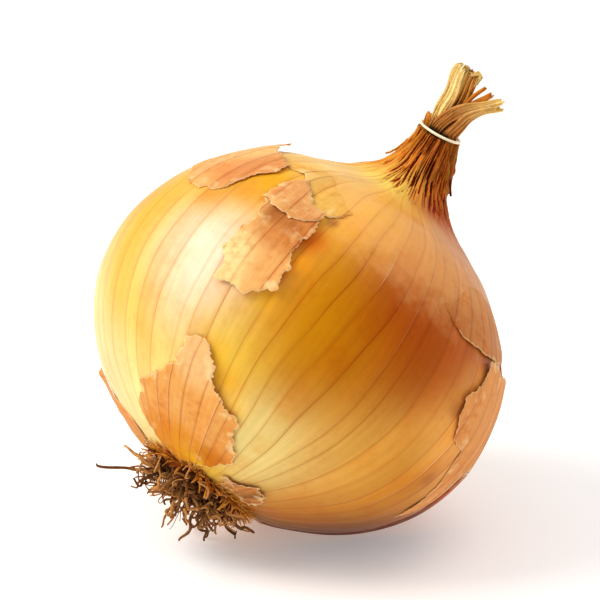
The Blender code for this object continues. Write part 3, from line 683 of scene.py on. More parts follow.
# Loose skins: base colour, how jagged the edge is, how far the edge curls up in mm, the corners as
# (phi, s, height over the bulb in mm), and patches of other colours as (phi, s, reach, colour).
SKINS = {
    "top_flake": (
        PAPER, 0.11, 0.2,
        [(-17, 72.5, 0.2), (-9, 70, 0.3), (-4, 69.4, 0.3), (2.5, 71, 0.3), (5.5, 76, 0.4), (10.5, 81, 0.7),
         (9.5, 85, 0.8), (1.5, 88, 0.9), (-11, 92, 1.6), (-14.5, 95.8, 2.6), (-18, 95.5, 1.7),
         (-24, 90, 0.2), (-30, 83, 0.1), (-29, 77, 0.1)],
        [(0, 79, 4, (226, 146, 84)), (-12, 84, 4, (246, 192, 124))]),
    "front_flake": (
        PAPER, 0.12, 0.25,
        [(16.5, 73.7, 0.5), (16, 77.7, 0.4), (20, 83.4, 0.4), (28.5, 77.4, 0.5), (33, 76.9, 0.8),
         (35, 71.4, 1.1), (34, 66.9, 1.1), (36, 63.6, 1.1), (37, 58.6, 1.2), (31, 55.2, 1.2),
         (20.5, 54.6, 0.9), (21, 57.4, 0.8), (17.5, 60.6, 0.7), (19.5, 69.4, 0.5)],
        [(20, 58, 3.5, PALE_PAPER), (30, 70, 3.5, (214, 136, 72)), (33, 60, 3, (240, 176, 104)),
         # (24, 71) and (29, 70.6) are painted shadow under the fold.
         (24, 71, 1.5, (168, 92, 38)), (29, 70.6, 1.5, (160, 84, 34))]),
    "front_flake_fold": (
        (244, 188, 120), 0.08, 0.1,
        [(16, 73.4, 0.9), (22, 72.3, 1.3), (27.5, 71.5, 1.3), (31, 72.6, 1.3), (34, 75, 1.25),
         (33.4, 77, 1.0), (28.5, 77.6, 0.75), (20, 83.6, 0.65), (15.8, 77.9, 0.65)],
        [(20, 80, 2.5, (232, 160, 94)), (28, 73, 2, (222, 148, 84))]),
    "shoulder_skin": (
        (250, 200, 124), 0.05, 0.1,
        [(10, 84.7, 0.3), (16, 85.4, 0.35), (22, 81.5, 0.3), (28, 77.6, 0.25), (32, 76.9, 0.3),
         (35, 77.2, 0.35), (38, 79.5, 0.2), (40, 84, -0.3), (44, 91, -0.6), (40, 101, -0.8),
         (20, 107, -0.8), (0, 101, -0.8), (-6, 93, -0.6), (3, 87.5, 0.0)],
        [(13, 86, 2, (252, 220, 150))]),
    "root_fan": (
        (236, 164, 84), 0.17, 0.1,
        [(22, 43.1, 0.5), (27, 43.9, 0.8), (31, 41.4, 1.2), (33.5, 37.9, 1.2), (41, 33.9, 0.9),
         (45.5, 33.9, 0.8), (48.5, 31.4, 0.7), (50, 28.6, 0.6), (54.5, 25.9, 0.6), (57, 22.4, 0.5),
         (53, 20.1, 0.4), (47, 16, 0.3), (34, 12.5, 0.3), (4, 12.5, 0.3), (-6, 21, 0.3), (-5, 24.4, 0.3),
         (0, 26, 0.3), (1, 29.6, 0.3), (10, 32.4, 0.3), (17, 36, 0.3)],
        [(28, 40, 3, (242, 190, 126)), (20, 16, 4, (226, 138, 16)), (30, 15, 3, (232, 160, 20)),
         (46, 18, 2.5, (206, 118, 10)), (38, 15, 2, (240, 190, 40))]),
    "left_sliver": (
        (226, 150, 72), 0.04, 0.2,
        [(-50, 31.0, 0.7), (-47, 28.4, 0.5), (-45, 25.4, 0.45), (-40, 22.6, 0.4), (-33, 20.3, 0.35),
         (-28, 17.9, 0.3), (-27, 15.5, 0.3), (-34, 13, 0.3), (-62, 13, 0.6), (-78, 17, 0.9),
         (-70, 26, 1.4), (-58, 31, 1.8)],
        [(-40, 26, 4, (222, 140, 60))]),
    "root_flake": (
        (184, 118, 62), 0.2, 0.35,
        [(60, 17.6, 0.4), (68.5, 18.4, 0.5), (76.5, 21.9, 0.7), (81.5, 21.6, 0.8), (87, 19.6, 0.8),
         (92.5, 17.1, 0.6), (90, 14.2, 0.4), (64, 13.8, 0.3)],
        []),
    "upper_right_skin": (
        (196, 124, 74), 0.06, 0.15,
        [(78.5, 77.7, 0.05), (83, 75.8, 0.2), (87.5, 74.9, 0.4), (92.5, 75.4, 0.55), (97.5, 75.9, 0.6),
         (103, 76.6, 0.65), (110, 77.5, 0.7), (118, 79.6, 0.7), (128, 82.5, 0.6), (133, 90, -0.2),
         (128, 99, -0.8), (106, 101, -0.8), (84, 98, -0.8), (74, 88, -0.8), (76, 80, -0.3)],
        [(98, 80, 4, (200, 130, 74)), (122, 84, 5, (206, 138, 84))]),
    "lower_right_skin": (
        (226, 150, 82), 0.1, 0.35,
        [(104, 75.8, 0.8), (113, 76.6, 0.8), (123, 77.6, 1.0), (128, 77.8, 1.2), (140, 74, 0.4),
         (147, 66, 0.0), (142, 60, 0.0), (128, 58.6, 0.3), (124, 54, 0.3), (122, 41, 0.3),
         (118.5, 45.4, 0.3), (115, 52, 0.4), (110.5, 58.9, 0.5), (104, 58.6, 0.6), (97, 65.4, 0.8),
         (101.5, 69.7, 0.8)],
        []),
    "far_side_skin": (
        (232, 158, 82), 0.03, 0.0,
        [(140.5, 86.5, 0.9), (139.5, 83, 1.35), (139.5, 79, 1.5), (142, 78.6, 1.5), (142.6, 83, 1.35),
         (148, 87, 0.7), (160, 86, 0.3), (160, 93, 0.2), (146, 94, 0.1)],
        []),
    # Its near-black red is painted shade along the underside, over the floor.
    "underside_skin": (
        (96, 14, 2), 0.05, 0.1,
        [(129, 58.2, 0.3), (128, 50.4, 0.15), (127, 45.4, 0.06), (126, 35, 0.0), (128, 23, -0.3),
         (136, 16, -0.3), (158, 15, 0.1), (157, 30, 0.3), (156, 42, 0.3), (153, 50, 0.4), (150, 58.6, 0.5),
         (139, 59.2, 0.5)],
        [(136, 56, 4, (196, 84, 18))]),
    "back_flake": (
        PAPER, 0.08, 0.25,
        [(228, 58, 0.3), (226, 70, 0.5), (236, 81, 0.9), (252, 84, 1.0), (262, 76, 0.6), (258, 64, 0.3),
         (247, 57, 0.3)],
        [(245, 66, 5, PALE_PAPER)]),
    "rear_root_flake": (
        BROWN_PAPER, 0.08, 0.2,
        [(214, 16, 0.3), (210, 27, 0.5), (222, 36, 0.8), (238, 33, 0.8), (250, 24, 0.4), (246, 16, 0.3)],
        []),
    "neck_shred_left": (
        (140, 40, 8), 0.1, 0.1,
        [(-26, 124, -0.9), (-60, 124, -0.9), (-54, 121, -0.7), (-46, 119.6, -0.4), (-41, 118.4, 0.3),
         (-37, 119.8, -0.4), (-32, 121.5, -0.8)],
        []),
    "neck_shred_right": (
        (120, 34, 6), 0.12, 0.1,
        [(122, 124.6, -0.3), (150, 124.8, 0.0), (156, 121, 0.5), (147, 117.8, 0.6), (138, 117.4, 0.6),
         (130, 119.4, 0.3), (123, 122, -0.2)],
        []),
}

# These run into the bulb's own skin at their upper side, and share its veins.
MERGING_SKINS = ("upper_right_skin", "shoulder_skin")


def torn_line(a, b, rng, jag):
    """Points from a to b without b, each part moved aside by a share of its length, as torn paper is."""
    length = np.linalg.norm(b - a)
    if length < EDGE_STEP:
        return [a]
    across = np.array([a[1] - b[1], b[0] - a[0]])
    share = jag * (0.5 if length > 2.5 else 1.4)
    middle = (a + b) / 2 + across * np.clip(rng.normal(), -1.8, 1.8) * share
    return torn_line(a, middle, rng, jag) + torn_line(middle, b, rng, jag)


def edge_distance(points, edge):
    """How far flat points are from a closed outline."""
    nearest = np.full(len(points), np.inf)
    for a, b in zip(edge, np.roll(edge, -1, axis=0)):
        along = np.clip((points - a) @ (b - a) / ((b - a) @ (b - a)), 0.0, 1.0)
        nearest = np.minimum(nearest, np.linalg.norm(points - a - np.outer(along, b - a), axis=1))
    return nearest


def inside(points, edge):
    """Which flat points are inside a closed outline."""
    found = np.zeros(len(points), bool)
    for a, b in zip(edge, np.roll(edge, -1, axis=0)):
        if a[1] == b[1]:
            continue
        crosses = (a[1] > points[:, 1]) != (b[1] > points[:, 1])
        found ^= crosses & (points[:, 0] < a[0] + (points[:, 1] - a[1]) / (b[1] - a[1]) * (b[0] - a[0]))
    return found


def skin_sheet(corners, jag, curl, rng, seed):
    """A torn sheet's phi, s, height over the bulb, distance from its edge, and faces."""
    corners = np.array(corners, float)
    middle_radius = np.interp(corners[:, 1], OUTLINE_S, OUTLINE_R).mean()
    flat = np.column_stack([np.radians(corners[:, 0]) * middle_radius, corners[:, 1]])
    edge = []
    for a, b in zip(flat, np.roll(flat, -1, axis=0)):
        edge += torn_line(a, b, rng, jag)
    edge = np.array(edge)
    xs = np.arange(edge[:, 0].min(), edge[:, 0].max(), SKIN_STEP)
    ys = np.arange(edge[:, 1].min(), edge[:, 1].max(), SKIN_STEP * 0.87)
    grid = np.array([(x + (row % 2) * SKIN_STEP / 2, y) for row, y in enumerate(ys) for x in xs])
    grid = grid[inside(grid, edge)]
    grid = grid[edge_distance(grid, edge) > 0.3]
    places = [Vector(p) for p in np.vstack([edge, grid])]
    found, _, faces, _, _, _ = delaunay_2d_cdt(places, [], [list(range(len(edge)))], 1, 1e-6)
    found = np.array([tuple(p) for p in found])
    rim = edge_distance(found, edge)
    phi = np.degrees(found[:, 0] / middle_radius)
    s = found[:, 1]
    away = np.sum((found[:, None] - flat[None]) ** 2, axis=2) + 0.5
    lift = np.sum(corners[None, :, 2] / away, axis=1) / np.sum(1 / away, axis=1)
    bend = np.exp(-rim / CURL_REACH) * curl * (streaks(phi, s, 70, 5, seed) * 1.6 - 0.6)
    wrinkle = (streaks(phi, s, 90, 14, seed + 1) - 0.5) * 0.16
    wrinkle += (streaks(phi, s, 40, 4, seed + 2) - 0.5) * 0.2
    return phi, s, lift + bend + wrinkle * ramp(lift, 0.2, 0.7), rim, faces


def outward_faces(points, faces):
    """The faces, turned so that most look away from the onion's middle."""
    a, b, c = (points[[face[k] for face in faces]] for k in range(3))
    outward = np.sum(np.cross(b - a, c - a) * (a - CENTRE))
    return faces if outward > 0 else [face[::-1] for face in faces]


def make_skin(name, base, jag, curl, corners, patches, mat, nodes, seed):
    """One loose skin; where it sinks into the bulb it takes on the bulb's colour."""
    phi, s, lift, rim, faces = skin_sheet(corners, jag, curl, np.random.default_rng(seed), seed)
    points = lay(straight_point(phi, s, lift - PAPER_SINK))
    flat_points = straight_point(phi, s, 0.0)
    tints = blend_tints(flat_points, base, patches)
    if name == "root_flake":
        tints *= (0.5 + 0.85 * streaks(phi, s, 200, 5, seed + 7))[:, None]
    merges = name in MERGING_SKINS
    sunk = 1 - (ramp(lift, 0.1, 0.55) if merges else ramp(lift, -0.3, 0.3))
    # Where it sinks in it takes the bulb's colours, with their painted highlight, shade, shadows and matt
    # sheen.
    below = blend_tints(flat_points, SKIN_BASE, BULB_TINTS_AND_PAINTED_LIGHT)
    below += (linear(DUST_AND_SHEEN) - below) * DUST_AND_SHEEN_SHARE * ramp(dust_and_sheen_at(phi, s), 0.15, 0.85)[:, None]
    tints += (below - tints) * sunk[:, None]
    rim = rim + 5.0 * (1 - ramp(lift, 0.05, 0.3))
    shift = 0.0 if merges else PAPER_SHIFT
    place = np.column_stack([phi / 360.0 + shift, s / 100.0 + shift, np.zeros(len(s))])
    faces = outward_faces(points, faces)
    values = {"skin_place": place, "rim": rim}
    piece = make_piece(name + "_paper", points, faces, mat, nodes, tints, values)
    thicken = piece.modifiers.new("thickness", "SOLIDIFY")
    thicken.thickness = (SHRED_THICKNESS if name.startswith("neck") else PAPER_THICKNESS) * MM
    thicken.offset = 1.0


def make_skins():
    """All the loose skins; those at the neck are too narrow for veins."""
    paper = paper_material("paper_skin", 0.6)
    shred = fibre_material("neck_shred", 0.7, 700.0, 0.7)
    for seed, (name, (base, jag, curl, corners, patches)) in enumerate(SKINS.items(), start=100):
        mat = shred if name.startswith("neck") else paper
        nodes = [name] if name in frame["nodes"] else []
        make_skin(name, base, jag, curl, corners, patches, mat, nodes, seed)


# -------- roots and root plate

ROOT_TAN = (226, 160, 90)
ROOT_BROWN = (92, 50, 20)
ROOT_BASE_SHADE = (44, 20, 8)
# The fine roots start anywhere this near the plate's middle, and the scales start this far from it.
FINE_ROOTS_WITHIN = 9.4
SCALES_START = 9.3
FINE_ROOTS_EACH = 5
LOWEST_FINE_TIP = 7.0
ROOT_SIDES = 7
PLATE_COLUMNS = 60


def along_axes(places):
    """Places in the part's frame as points along the onion's axes; the leaning neck would need more."""
    return (places - CENTRE) @ AXES.T


def cad_root(node):
    """Where a CAD root starts and ends, along the onion's axes."""
    vertices = frame["nodes"][node].data.vertices
    points = along_axes(np.array([tuple(v.co) for v in vertices]) / MM)
    start = points[points[:, 2] > points[:, 2].max() - 0.4].mean(axis=0)
    away = np.linalg.norm(points - start, axis=1)
    return start, points[away > away.max() - 0.4].mean(axis=0)


def curly_path(start, tip, curl, rng, steps):
    """A root's middle line: it leaves the plate squarely, bends over to its tip and wriggles on the way."""
    reach = np.linalg.norm(tip - start)
    square = np.array([start[0], start[1], -9.0])
    square /= np.linalg.norm(square)
    second = start + square * min(reach * 0.4, 2.6)
    third = tip + (second - tip) * 0.35
    u = np.linspace(0.0, 1.0, steps)[:, None]
    path = start * (1 - u) ** 3 + second * 3 * (1 - u) ** 2 * u + third * 3 * (1 - u) * u * u + tip * u ** 3
    wave = np.zeros((steps, 3))
    for turns in (0.9, 1.6, 2.6):
        wave += np.sin(2 * math.pi * (turns * u + rng.random(3))) * rng.normal(size=3) / turns
    return path + wave * curl * reach * np.sin(math.pi * u * 0.5)


def add_root(bundle, path, thick, tint, rng):
    """A root with knots, thinner towards its tip, with painted shade where it leaves the plate."""
    steps = len(path)
    u = np.linspace(0.0, 1.0, steps)
    size = thick * (1 - 0.5 * u ** 1.5) * (1 + 0.08 * rng.normal(size=steps))
    laid = lay(path)
    laid[:, 2] = np.maximum(laid[:, 2], FLOOR_LEVEL + size)
    points, faces = tube(laid, size, size * rng.uniform(0.7, 1.0), rng.normal(size=3), ROOT_SIDES)
    # Painted shade where the roots crowd at the plate: dark at the start, its own tint further on.
    tints = linear(ROOT_BASE_SHADE) + (linear(tint) - linear(ROOT_BASE_SHADE)) * ramp(u, 0.0, 0.35)[:, None]
    bundle.add(points, faces, np.repeat(tints, ROOT_SIDES, axis=0))


def root_tint(rng, darkness):
    """A root's colour between brown and tan; more of them are brown where darkness is over 1."""
    brown = np.array(ROOT_BROWN)
    return brown + (np.array(ROOT_TAN) - brown) * rng.random() ** darkness


def add_fine_root(bundle, rng):
    """A short fine root that starts anywhere on the plate and spreads more the nearer the rim it is."""
    radius = FINE_ROOTS_WITHIN * math.sqrt(rng.random())
    angle = rng.uniform(0, 2 * math.pi)
    first = round_axis(radius, angle, OUTLINE_T[0] - 1.6)
    spread = math.radians(10 + 75 * (radius / FINE_ROOTS_WITHIN) ** 1.5 + rng.normal() * 14)
    way = round_axis(math.sin(spread), angle, -math.cos(spread))
    last = first + way * rng.uniform(1.8, 5.6) + rng.normal(size=3) * 1.2
    while lay(last)[0, 2] < LOWEST_FINE_TIP:
        last = first + way * rng.uniform(0.6, 3.0) + rng.normal(size=3) * 1.2
    path = curly_path(first, last, 0.2, rng, 22)
    add_root(bundle, path, rng.uniform(0.14, 0.36), root_tint(rng, 1.5), rng)


def make_roots():
    """Each CAD root as a finer one, with a few more fine roots beside it."""
    mat = fibre_material("root", 0.78, 500.0, 0.75)
    rng = np.random.default_rng(31)
    for node in sorted(n for n in frame["nodes"] if n.startswith("root_") and n[5:].isdigit()):
        start, tip = cad_root(node)
        curl = 0.05 if np.linalg.norm(tip - start) > 8 else 0.12
        bundle = Bundle()
        add_root(bundle, curly_path(start, tip, curl, rng, 30), 0.42, root_tint(rng, 1.0), rng)
        for _ in range(FINE_ROOTS_EACH):
            add_fine_root(bundle, rng)
        bundle.make(node + "_fine", mat, [node])
    return mat


SCALES = 420
SCALE_STEPS = 8
SCALE_LIGHT = (255, 176, 66)
SCALE_DARK = (168, 78, 18)
SKIN_FIBRES = 170
FIBRE_STEPS = 9
SKIN_FIBRE_LIGHT = (255, 216, 110)
SKIN_FIBRE_DARK = (226, 126, 26)
PLATE_BROWN = (96, 46, 16)


def between(dark, light, share):
    return linear(light) * share + linear(dark) * (1 - share)


def add_plate(bundle, rng):
    """The plate itself, a knobbly dome."""
    angles = 2 * math.pi * np.arange(PLATE_COLUMNS) / PLATE_COLUMNS
    rows = []
    for share in np.linspace(0.0, 1.0, 14):
        knobs = rng.normal(size=PLATE_COLUMNS) * 0.25 * (0.3 < share < 0.98)
        drop = GAP + PLATE_DEPTH * (1 - 0.75 * share ** 2) + knobs
        rows.append(round_axis(max(PLATE_RADIUS * share, PLATE_MIDDLE), angles, OUTLINE_T[0] - drop))
    rows.append(round_axis(PLATE_RADIUS - 0.8, angles, OUTLINE_T[0] - 0.1))
    faces = [face[::-1] for face in closed_faces(len(rows), PLATE_COLUMNS)]
    bundle.add(lay(np.vstack(rows)), faces, linear(PLATE_BROWN))


def add_scale(bundle, rng):
    """A small torn scale that stands up from the plate's rim."""
    phi = math.radians(rng.uniform(-180, 180))
    raised = math.radians(min(120.0, -24 + abs(rng.normal()) * 44))
    length = rng.uniform(1.4, 4.2)
    half = rng.uniform(0.26, 0.8)
    u = np.linspace(0.0, 1.0, SCALE_STEPS)
    turn = raised * (0.5 + 0.5 * u) + rng.normal() * 0.25 * u
    out = SCALES_START + np.cumsum(np.cos(turn)) * length / SCALE_STEPS
    level = OUTLINE_T[0] - 0.2 - np.cumsum(np.sin(turn)) * length / SCALE_STEPS
    path = lay(round_axis(out, rng.normal() * 0.2 * u * length / 10 + phi, level))
    outward = lay(round_axis(PLATE_RADIUS - 0.1, phi, -60.0))[0] - path[0]
    shade = rng.random() * (1.0 if raised < 0.7 else 0.75)
    points, faces = tube(path, half * (1 - u * 0.85), np.full(SCALE_STEPS, 0.09), outward, 6)
    bundle.add(points, faces, between(SCALE_DARK, SCALE_LIGHT, shade))


def add_skin_fibre(bundle, rng):
    """A fibre that runs from the plate's rim up over the skin."""
    length = rng.uniform(1.0, 3.0) + 3.5 * rng.random() ** 4
    u = np.linspace(0.0, 1.0, FIBRE_STEPS)
    phi = rng.uniform(-180, 180) + np.cumsum(rng.normal(size=FIBRE_STEPS)) * 0.9
    lift = 0.1 + rng.uniform(0.0, 0.9) * u ** 2
    path = lay(straight_point(phi, 10.0 + length * u, lift))
    shade = rng.random()
    half = rng.uniform(0.1, 0.26) * (1 - u * 0.7)
    points, faces = tube(path, half, np.full(FIBRE_STEPS, 0.06), path[0] - CENTRE, 6)
    bundle.add(points, faces, between(SKIN_FIBRE_DARK, SKIN_FIBRE_LIGHT, shade))


def make_root_plate(mat):
    """The knobbly plate under the roots, with torn scales and fibres round its rim."""
    rng = np.random.default_rng(41)
    bundle = Bundle()
    add_plate(bundle, rng)
    for _ in range(SCALES):
        add_scale(bundle, rng)
    for _ in range(SKIN_FIBRES):
        add_skin_fibre(bundle, rng)
    bundle.make("root_plate_scales", mat, ["root_plate"])


# -------- ring and dried leaves

RING_COLUMNS = 96
RING_SIDES = 14
CREAM = (250, 240, 208)


def stub_place(right, front, rise):
    """Places in the stub, from how far right, to the front and up they are."""
    to_front = np.array([math.cos(STUB_FRONT), math.sin(STUB_FRONT), 0.0])
    to_right = np.array([-to_front[1], to_front[0], 0.0])
    straight = np.outer(right, to_right) + np.outer(front, to_front)
    straight[:, 2] = NECK_TOP + GAP + RING_THICKNESS / 2 + rise
    return lay(straight)


def make_ring():
    """A thin band of pale fibre round the collar, not quite even."""
    rng = np.random.default_rng(51)
    phi = 360.0 * np.arange(RING_COLUMNS) / RING_COLUMNS
    wobble = (streaks(phi, np.zeros(RING_COLUMNS), 14, 10, 52) - 0.5) * 0.12
    half = RING_THICKNESS / 2
    rows = []
    for turn in 2 * math.pi * np.arange(RING_SIDES) / RING_SIDES:
        radius = RING_RADIUS + wobble + half * math.cos(turn) * (1 + rng.normal() * 0.03)
        rows.append(round_axis(radius, np.radians(phi), NECK_TOP + GAP + half * (1 + math.sin(turn))))
    points = lay(np.vstack(rows))
    faces = grid_faces(RING_SIDES + 1, RING_COLUMNS) % len(points)
    tints = np.tile(linear(CREAM), (len(points), 1))
    mat = fibre_material("ring", 0.5, 300.0, 0.92)
    make_piece("neck_ring_band", points, faces, mat, ["neck_ring"], tints)


STRAW = (255, 218, 132)
# Each leaf's stations: how far right, front and up it is in mm, and half its width and depth there.
STUB_LEAVES = {
    "tall_leaf":
        [(-0.5, -0.8, -2.3, 1.9, 1.0), (-0.6, -0.8, 1, 2.1, 1.1), (-0.6, -0.9, 4.4, 2.4, 1.2),
         (-0.5, -0.9, 8.5, 2.4, 1.25), (-0.95, -1.0, 12, 2.65, 1.1), (-0.85, -1.0, 14.4, 2.35, 0.8)],
    "bent_leaf":
        [(0.3, 0.5, -2.3, 2.2, 0.5), (0.5, 0.8, 0.8, 2.7, 0.6), (1.6, 1.5, 4.0, 2.4, 0.8),
         (3.0, 1.7, 6.4, 1.7, 0.7), (5.0, 1.6, 8.4, 1.1, 0.4), (7.0, 1.5, 10.1, 1.15, 0.2),
         (9.0, 1.4, 11.5, 1.2, 0.1)],
    "thin_strand":
        [(2.0, 0.4, -2.0, 0.4, 0.3), (1.9, 0.5, 4, 0.4, 0.3), (2.1, 0.5, 8.2, 0.3, 0.3),
         (2.9, 0.5, 10.6, 0.28, 0.25), (3.95, 0.5, 12.5, 0.2, 0.2)],
    "wide_strand":
        [(2.4, 0.8, -2.0, 0.6, 0.35), (2.4, 0.8, 4, 0.8, 0.4), (3.2, 0.8, 7.8, 0.6, 0.35),
         (4.5, 0.8, 10.0, 0.5, 0.3), (5.75, 0.8, 12.0, 0.4, 0.25)],
    "collar_leaf":
        [(-2.8, 0.9, -2.0, 0.45, 0.45), (-3.2, 0.9, 0.4, 0.5, 0.45), (-3.6, 0.8, 1.9, 0.45, 0.4),
         (-3.6, 0.7, 3.2, 0.3, 0.3)],
}
# The tall leaf's torn top curls over at its right: places as above.
TOP_CURL = [(-0.2, -0.6, 12.6), (0.6, -0.7, 13.1), (1.1, -0.8, 13.8), (1.6, -0.9, 13.5), (1.7, -0.9, 12.7),
            (1.6, -0.9, 11.9)]
# Painted shade on the tall leaf's folded-back right side; the dark core is a darker copy of it.
FOLD_SHADE_COLOUR = (212, 134, 40)
# How much painted shade darkens the strands that lie deeper in a leaf.
GROOVE_SHADE = 1.9
# A darker strand is also redder: its shade, the painted groove shade times a random tone, is raised to these
# powers in red, green and blue.
WARMING = np.array([0.8, 1.15, 1.9])
# About how many torn lobes there are round a leaf's end.
LOBES = 13
CURL_STRANDS = 22
STRAND_STEPS = 30
STRAND_SIDES = 8
# A leaf's line has this many steps from one station to the next, and its dark core, painted shade between
# the strands, ends one station short.
STATION_STEPS = 8
# How many strands each leaf has, how wide they are, how ragged its end is, and its colours low and high.
LEAF_LOOKS = {
    "tall_leaf": (64, 0.42, 0.14, STRAW, (255, 226, 156)),
    "bent_leaf": (54, 0.4, 0.24, (200, 132, 66), (255, 216, 136)),
    "thin_strand": (8, 0.24, 0.1, (206, 124, 40), (222, 142, 48)),
    "wide_strand": (11, 0.28, 0.14, (200, 120, 40), (218, 138, 46)),
    "collar_leaf": (8, 0.3, 0.3, (206, 120, 36), (240, 160, 66)),
}


def add_curl(bundle, rng):
    """The loose strands that curl over at the tall leaf's torn top."""
    for _ in range(CURL_STRANDS):
        stations = np.array(TOP_CURL) + rng.normal(size=(len(TOP_CURL), 3)) * 0.12
        stations += rng.normal(size=3) * 0.18
        first = rng.integers(0, 4)
        path = stub_place(*smooth_line(stations[first:first + 3], 6).T)
        widths = 0.27 * (1 - 0.5 * np.linspace(0.0, 1.0, len(path)) ** 2)
        points, faces = tube(path, widths, np.full(len(path), 0.12), path[0] - CENTRE, 8)
        bundle.add(points, faces, linear(STRAW) * rng.uniform(0.5, 1.0))


def add_strand(bundle, name, k, line, seed, rng):
    """One flat strand of a leaf, the k-th round it, along the leaf's smooth line of stations."""
    count, width, ragged, low, high = LEAF_LOOKS[name]
    turn = 2 * math.pi * (k + rng.uniform(-0.3, 0.3)) / count
    depth = rng.choice([1.0, 0.93, 0.8])
    side = k * 360.0 / count
    lobe = float(streaks(side, 0.0, LOBES, 10, seed + 9))
    end = 1.0 - ragged * (0.3 * rng.random() + 0.7 * lobe)
    folded_back = float(ramp(math.cos(turn), -0.1, 0.06)) if name == "tall_leaf" else 0.0
    end -= 0.03 * folded_back
    begin = 0.17 * float(ramp(math.cos(turn), 0.55, 0.85)) if name == "bent_leaf" else 0.0
    u = np.linspace(begin, end, STRAND_STEPS)
    share = np.linspace(0.0, 1.0, len(line))
    right, front, up, half_width, half_depth = (np.interp(u, share, line[:, c]) for c in range(5))
    sides = np.full(STRAND_STEPS, side)
    wander = 1 + (streaks(sides, u * 60, count, 12, seed) - 0.5) * 0.2
    slip = turn + (streaks(sides, u * 60, count, 15, seed + 5) - 0.5) * 0.35
    way = np.gradient(np.column_stack([right, up]), axis=0)
    way /= np.linalg.norm(way, axis=1)[:, None]
    aside = half_width * depth * np.cos(slip) * wander
    rise = up - aside * way[:, 0]
    front += half_depth * depth * np.sin(slip) * wander - 0.7 * folded_back
    path = stub_place(right + aside * way[:, 1], front, rise)
    taper = 1 - 0.7 * ramp(u, end - 0.12, end)
    widths = width * taper * (1 + 0.12 * rng.normal(size=STRAND_STEPS).cumsum() / 6)
    outward = path[0] - stub_place(*line[:1, :3].T)[0]
    points, faces = tube(path, np.abs(widths), np.full(STRAND_STEPS, 0.2), outward, STRAND_SIDES)
    mixed = linear(low) + (linear(high) - linear(low)) * ramp(u, 0.25, 0.95)[:, None]
    # The folded-back right side in painted shade.
    mixed += (linear(FOLD_SHADE_COLOUR) - mixed) * 0.85 * folded_back
    # Painted shade where the bent leaf meets the ring: a dark line just above it.
    if name == "bent_leaf":
        mixed *= 0.08 + 0.92 * ramp(rise, 0.2, 0.75)[:, None]
    # Strands deeper in the leaf get painted shade, with a random tone.
    shade = (1.0 - GROOVE_SHADE * (1.0 - depth)) * rng.uniform(0.74, 1.14)
    bundle.add(points, faces, np.repeat(mixed * shade ** WARMING, STRAND_SIDES, axis=0))


def make_leaf(name, stations, mat, seed):
    """A dried leaf as a bundle of flat strands that follow its outline and end unevenly."""
    rng = np.random.default_rng(seed)
    line = smooth_line(stations, STATION_STEPS)
    bundle = Bundle()
    middle = stub_place(*line[:, :3].T)
    front = stub_place(*(line[:1, :3] + [0.0, 1.0, 0.0]).T)[0] - middle[0]
    # A near-black core inside the strands: painted shade in the gaps between them.
    core = slice(0, len(line) - STATION_STEPS)
    points, faces = tube(middle[core], line[core, 3] * 0.74, line[core, 4] * 0.5, front, 16)
    bundle.add(points, faces, linear(FOLD_SHADE_COLOUR) * 0.14)
    for k in range(LEAF_LOOKS[name][0]):
        add_strand(bundle, name, k, line, seed, rng)
    if name == "tall_leaf":
        add_curl(bundle, rng)
    bundle.make(name + "_fibres", mat, [name])


def make_stub():
    """The dried leaves that stand in the collar."""
    mat = fibre_material("dry_leaf", 0.7, 420.0, 0.86)
    for seed, (name, stations) in enumerate(STUB_LEAVES.items(), start=61):
        make_leaf(name, stations, mat, seed)


# -------- floor, light and camera

CAMERA_AZIMUTH = math.radians(-38.5)
CAMERA_HEIGHT = math.radians(20.0)
CAMERA_DISTANCE = 550.0
VIEW_WIDTH = 119.2
CAMERA_SHIFT = (0.0015, 0.0697)
FLOOR_SIZE = 8.0
FLOOR_GAP = 0.0002
TO_RIGHT = Vector((math.cos(CAMERA_AZIMUTH), math.sin(CAMERA_AZIMUTH), 0.0))
TO_CAMERA = Vector((math.sin(CAMERA_AZIMUTH) * math.cos(CAMERA_HEIGHT),
                    -math.cos(CAMERA_AZIMUTH) * math.cos(CAMERA_HEIGHT), math.sin(CAMERA_HEIGHT)))
UPWARDS = TO_CAMERA.cross(TO_RIGHT)


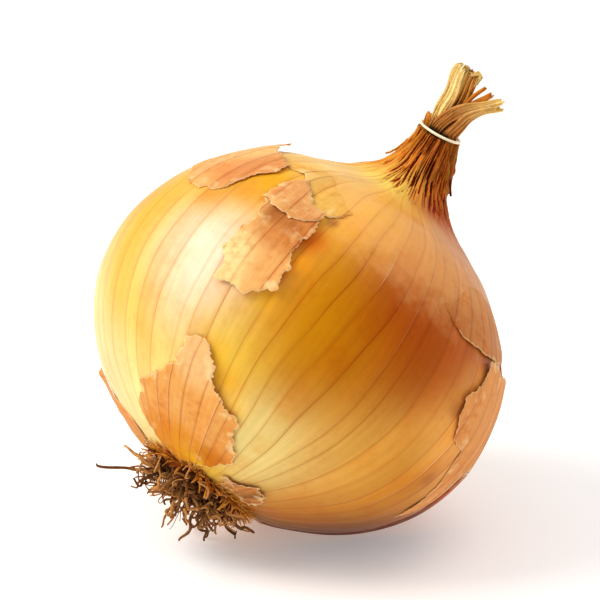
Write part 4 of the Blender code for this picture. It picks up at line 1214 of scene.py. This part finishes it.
def make_floor():
    """A pale floor just under the onion, which shines a little so that it stays pale in the shade."""
    bpy.ops.mesh.primitive_plane_add(size=FLOOR_SIZE, location=(0.0, 0.0, REST[2] - FLOOR_GAP))
    floor = bpy.context.object
    floor.name = "floor"
    mat, tree, shader = new_material("floor", 0.9, (0.1, WHITE))
    set_inputs(shader, {"Base Color": (0.93, 0.93, 0.93, 1.0), "Emission Color": WHITE,
                        "Emission Strength": 0.22})
    floor.data.materials.append(mat)


def look_back(thing, way, distance):
    """Puts a light or the camera a distance away from the onion's middle, in metres, looking back at it."""
    thing.location = Vector(CENTRE * MM) + way * distance
    thing.rotation_mode = "QUATERNION"
    thing.rotation_quaternion = way.to_track_quat("Z", "Y")


def add_light(name, right, up, forward, distance, size, power, colour):
    """A square soft light, by its way from the onion's middle: right, up and towards the camera."""
    way = (TO_RIGHT * right + UPWARDS * up + TO_CAMERA * forward).normalized()
    data = bpy.data.lights.new(name, "AREA")
    data.size = size
    data.energy = power
    data.color = colour
    look_back(add_object(name, data), way, distance)


def make_studio():
    world = bpy.data.worlds.new("studio")
    world.use_nodes = True
    set_inputs(world.node_tree.nodes["Background"], {"Color": WHITE, "Strength": 0.62})
    bpy.context.scene.world = world
    add_light("key", -0.66, 0.67, 0.35, 0.6, 0.34, 2.6, (1.0, 0.98, 0.94))
    add_light("overhead", 0.47, 0.86, 0.22, 0.6, 0.4, 0.7, (1.0, 0.97, 0.93))
    add_light("fill", 0.75, -0.05, 0.6, 0.8, 0.5, 0.5, (1.0, 0.97, 0.93))
    bpy.context.scene.view_settings.view_transform = "Standard"


def make_camera():
    data = bpy.data.cameras.new("camera")
    data.sensor_width = 36.0
    data.lens = data.sensor_width * CAMERA_DISTANCE / VIEW_WIDTH
    data.shift_x, data.shift_y = CAMERA_SHIFT
    data.clip_start = 0.01
    data.clip_end = 20.0
    camera = add_object("camera", data)
    look_back(camera, TO_CAMERA, CAMERA_DISTANCE * MM)
    bpy.context.scene.camera = camera


make_camera()
make_floor()
make_studio()
make_bulb()
make_skins()
root_material = make_roots()
make_root_plate(root_material)
make_ring()
make_stub()
